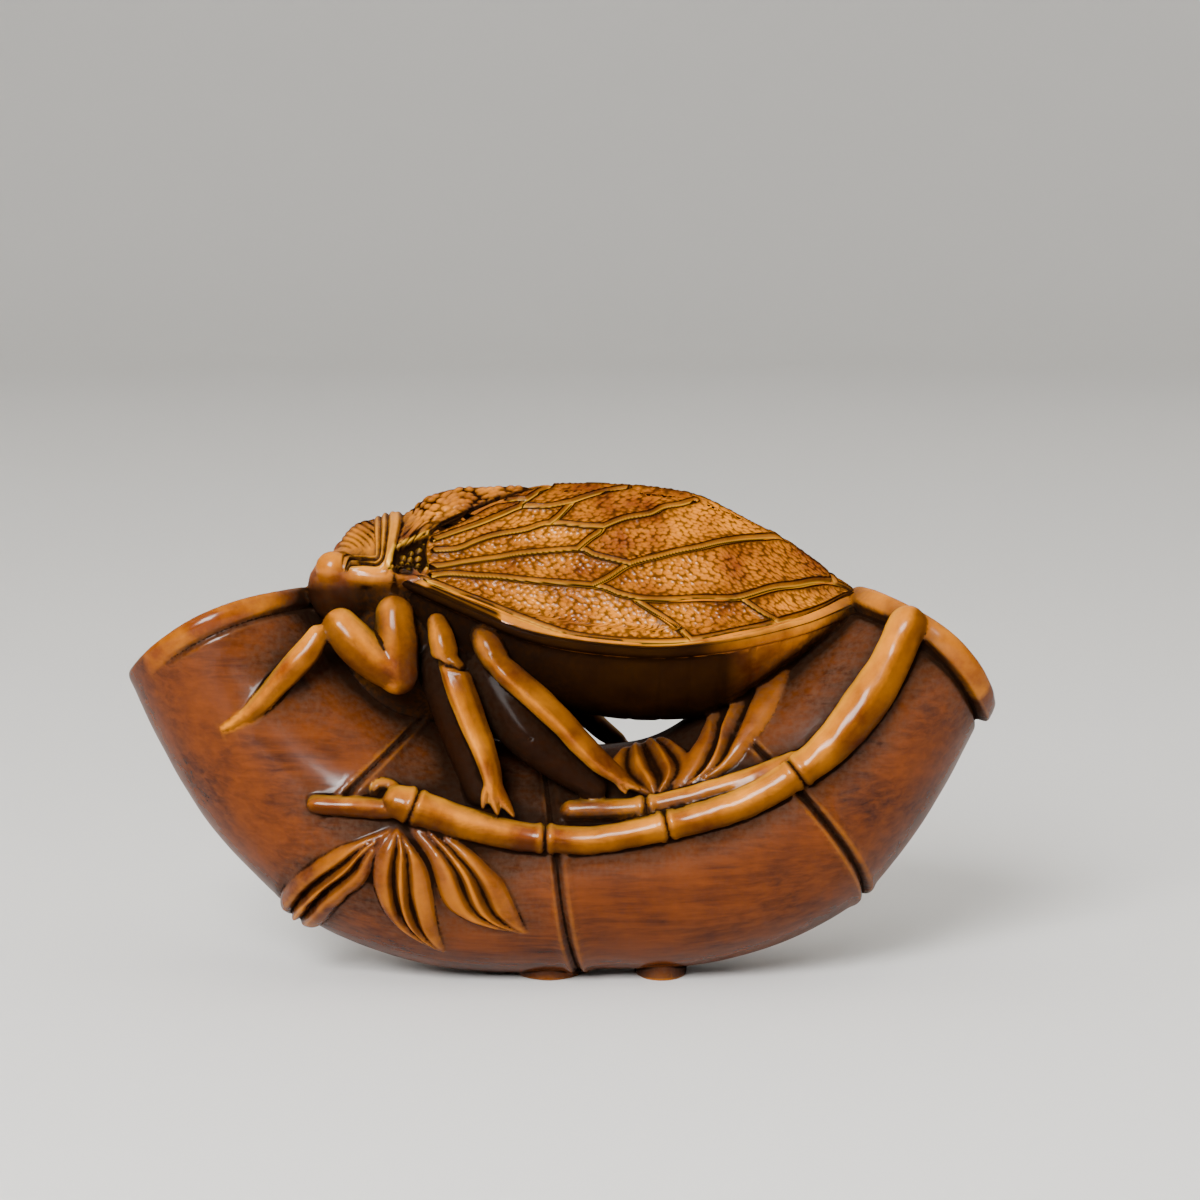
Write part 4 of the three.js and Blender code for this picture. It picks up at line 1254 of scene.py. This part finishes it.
print("grain group with", len(grain_group.nodes), "nodes")

# %% Boxwood material
BAMBOO_RED = (0.02, 0.003, 0.0002, 1)
BAMBOO_LIGHT = (0.14, 0.028, 0.0002, 1)
CICADA_GOLD = (0.14, 0.026, 0.0002, 1)
CICADA_LIGHT = (0.56, 0.175, 0.0005, 1)
DUSTY_SHADE = (0.09, 0.05, 0.03, 1)
SHADE_AND_STAIN = (0.004, 0.0017, 0.0008, 1)
HONEY = (0.85, 0.42, 0.02, 1)
wood = bpy.data.materials.new("boxwood")
wood.use_nodes = True
tree = wood.node_tree
shader = tree.nodes["Principled BSDF"]
place = node(tree, "ShaderNodeTexCoord").outputs["Object"]
grain = node(tree, "ShaderNodeGroup", node_tree=grain_group)
tree.links.new(place, grain.inputs["Vector"])
cut, worn, tone, pale, closed = (attribute(tree, key) for key in ("cut", "worn", "tone", "pale", "closed"))
streak = between(tree, grain.outputs["Streaks"], 0.35, 0.65)
blotch = between(tree, grain.outputs["Blotches"], 0.36, 0.64)
bamboo = mix(tree, math_node(tree, "MULTIPLY", blotch, 0.5), BAMBOO_RED, BAMBOO_LIGHT)
bamboo = mix(tree, math_node(tree, "MULTIPLY", streak, 0.5), bamboo, BAMBOO_LIGHT)
cicada = mix(tree, blotch, CICADA_GOLD, CICADA_LIGHT)
colour = mix(tree, tone, bamboo, cicada)
colour = mix(tree, math_node(tree, "MULTIPLY", worn, 0.6), colour, CICADA_LIGHT)
# Grey dust where the wood is closed in, which also serves as painted shade.
speckle = between(tree, grain.outputs["Fine"], 0.35, 0.65, least=0.2)
dust_and_shade = math_node(tree, "MULTIPLY", math_node(tree, "MULTIPLY", closed, speckle), 2.2, clamp=True)
colour = mix(tree, dust_and_shade, colour, DUSTY_SHADE)
# Pale honey on veins and worn edges, and a painted highlight on the crests of legs and twig.
colour = mix(tree, math_node(tree, "MULTIPLY", pale, 0.8), colour, HONEY)
# Painted shade in closed-in places and stain in the cuts turn the colour nearly black.
shade = math_node(tree, "MULTIPLY_ADD", closed, 2.6, -0.12)
shade = math_node(tree, "MINIMUM", shade, 0.93)
shade = math_node(tree, "MAXIMUM", shade, math_node(tree, "MULTIPLY", cut, 1.1), clamp=True)
shade = math_node(tree, "MULTIPLY", shade, 0.98, clamp=True)
colour = mix(tree, shade, colour, SHADE_AND_STAIN)
tree.links.new(colour, shader.inputs["Base Color"])
tree.links.new(math_node(tree, "MULTIPLY_ADD", shade, 0.2, 0.18), shader.inputs["Roughness"])
height = math_node(tree, "MULTIPLY", grain.outputs["Fine"], 0.6)
height = math_node(tree, "ADD", height, math_node(tree, "MULTIPLY", grain.outputs["Streaks"], 0.5))
bump = node(tree, "ShaderNodeBump", {"Height": height, "Strength": 0.12, "Distance": 0.0001})
tree.links.new(bump.outputs["Normal"], shader.inputs["Normal"])
tree.links.new(math_node(tree, "MULTIPLY_ADD", shade, -0.4, 0.4), shader.inputs["Coat Weight"])
shader.inputs["Coat Roughness"].default_value = 0.19
shader.inputs["Specular IOR Level"].default_value = 0.0  # all the gloss is the coat's
for piece in (block, *wings):
    piece.data.materials.clear()
    piece.data.materials.append(wood)
    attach(piece, "root")
    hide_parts("cicada_on_bamboo")
print("boxwood with", len(tree.nodes), "nodes")

# %% [markdown]
# Floor and light
#
# The stage is a pale round floor whose edge turns up into a wall, so that every side has the same
# plain background. The key lamp stands in front, a little up and to the left, where the round culm and
# legs mirror it as highlights. The top lamp lights the roof of the wings. A weak lamp on the right,
# another behind and the room's even light fill the shadows.

# %% Stage
FLOOR_RADIUS, WALL_BEND, WALL_STEPS = 0.9, 0.5, 8
deselect()
bpy.ops.mesh.primitive_circle_add(vertices=96, radius=FLOOR_RADIUS, fill_type="NGON")
floor = bpy.context.object
floor.name = "floor"
with edit_mode():
    for step in range(1, WALL_STEPS + 1):
        turn = step * math.pi / (2 * WALL_STEPS)
        before = turn - math.pi / (2 * WALL_STEPS)
        rise = WALL_BEND * (math.cos(before) - math.cos(turn))
        grow = (FLOOR_RADIUS + WALL_BEND * math.sin(turn)) / (FLOOR_RADIUS + WALL_BEND * math.sin(before))
        bpy.ops.mesh.extrude_region_move(TRANSFORM_OT_translate={"value": (0, 0, rise)})
        bpy.ops.transform.resize(value=(grow, grow, 1), center_override=(0, 0, 0))
bpy.ops.object.shade_smooth()
paper = bpy.data.materials.new("pale_paper")
paper.use_nodes = True
paper_shader = paper.node_tree.nodes["Principled BSDF"]
paper_shader.inputs["Base Color"].default_value = (0.72, 0.71, 0.69, 1)
paper_shader.inputs["Roughness"].default_value = 0.85
floor.data.materials.append(paper)
print("floor measures", [round(size, 2) for size in floor.dimensions], "m")

# %% Lights
LAMPS = {  # place, size and watts
    "key": ((-0.18, -0.62, 0.34), 0.26, 13.0),
    "top": ((-0.3, -0.25, 0.6), 0.25, 16.0),
    "fill": ((0.6, -0.5, 0.35), 0.5, 0.3),
    "back": ((0.15, 0.55, 0.6), 0.4, 1.5),
}
for name, (spot, size, watts) in LAMPS.items():
    deselect()
    bpy.ops.object.light_add(type="AREA", location=spot)
    lamp = bpy.context.object
    lamp.name = name
    lamp.data.shape = "SQUARE"
    lamp.data.size = size
    lamp.data.energy = watts
    lamp.rotation_euler = (Vector((0, 0, 0.02)) - Vector(spot)).to_track_quat("-Z", "Y").to_euler()
world = bpy.data.worlds.new("soft_room")
world.use_nodes = True
room = world.node_tree.nodes["Background"]
room.inputs["Color"].default_value = (0.9, 0.93, 1.0, 1)
room.inputs["Strength"].default_value = 0.05
bpy.context.scene.world = world
print(len(LAMPS), "lamps and the room's light")
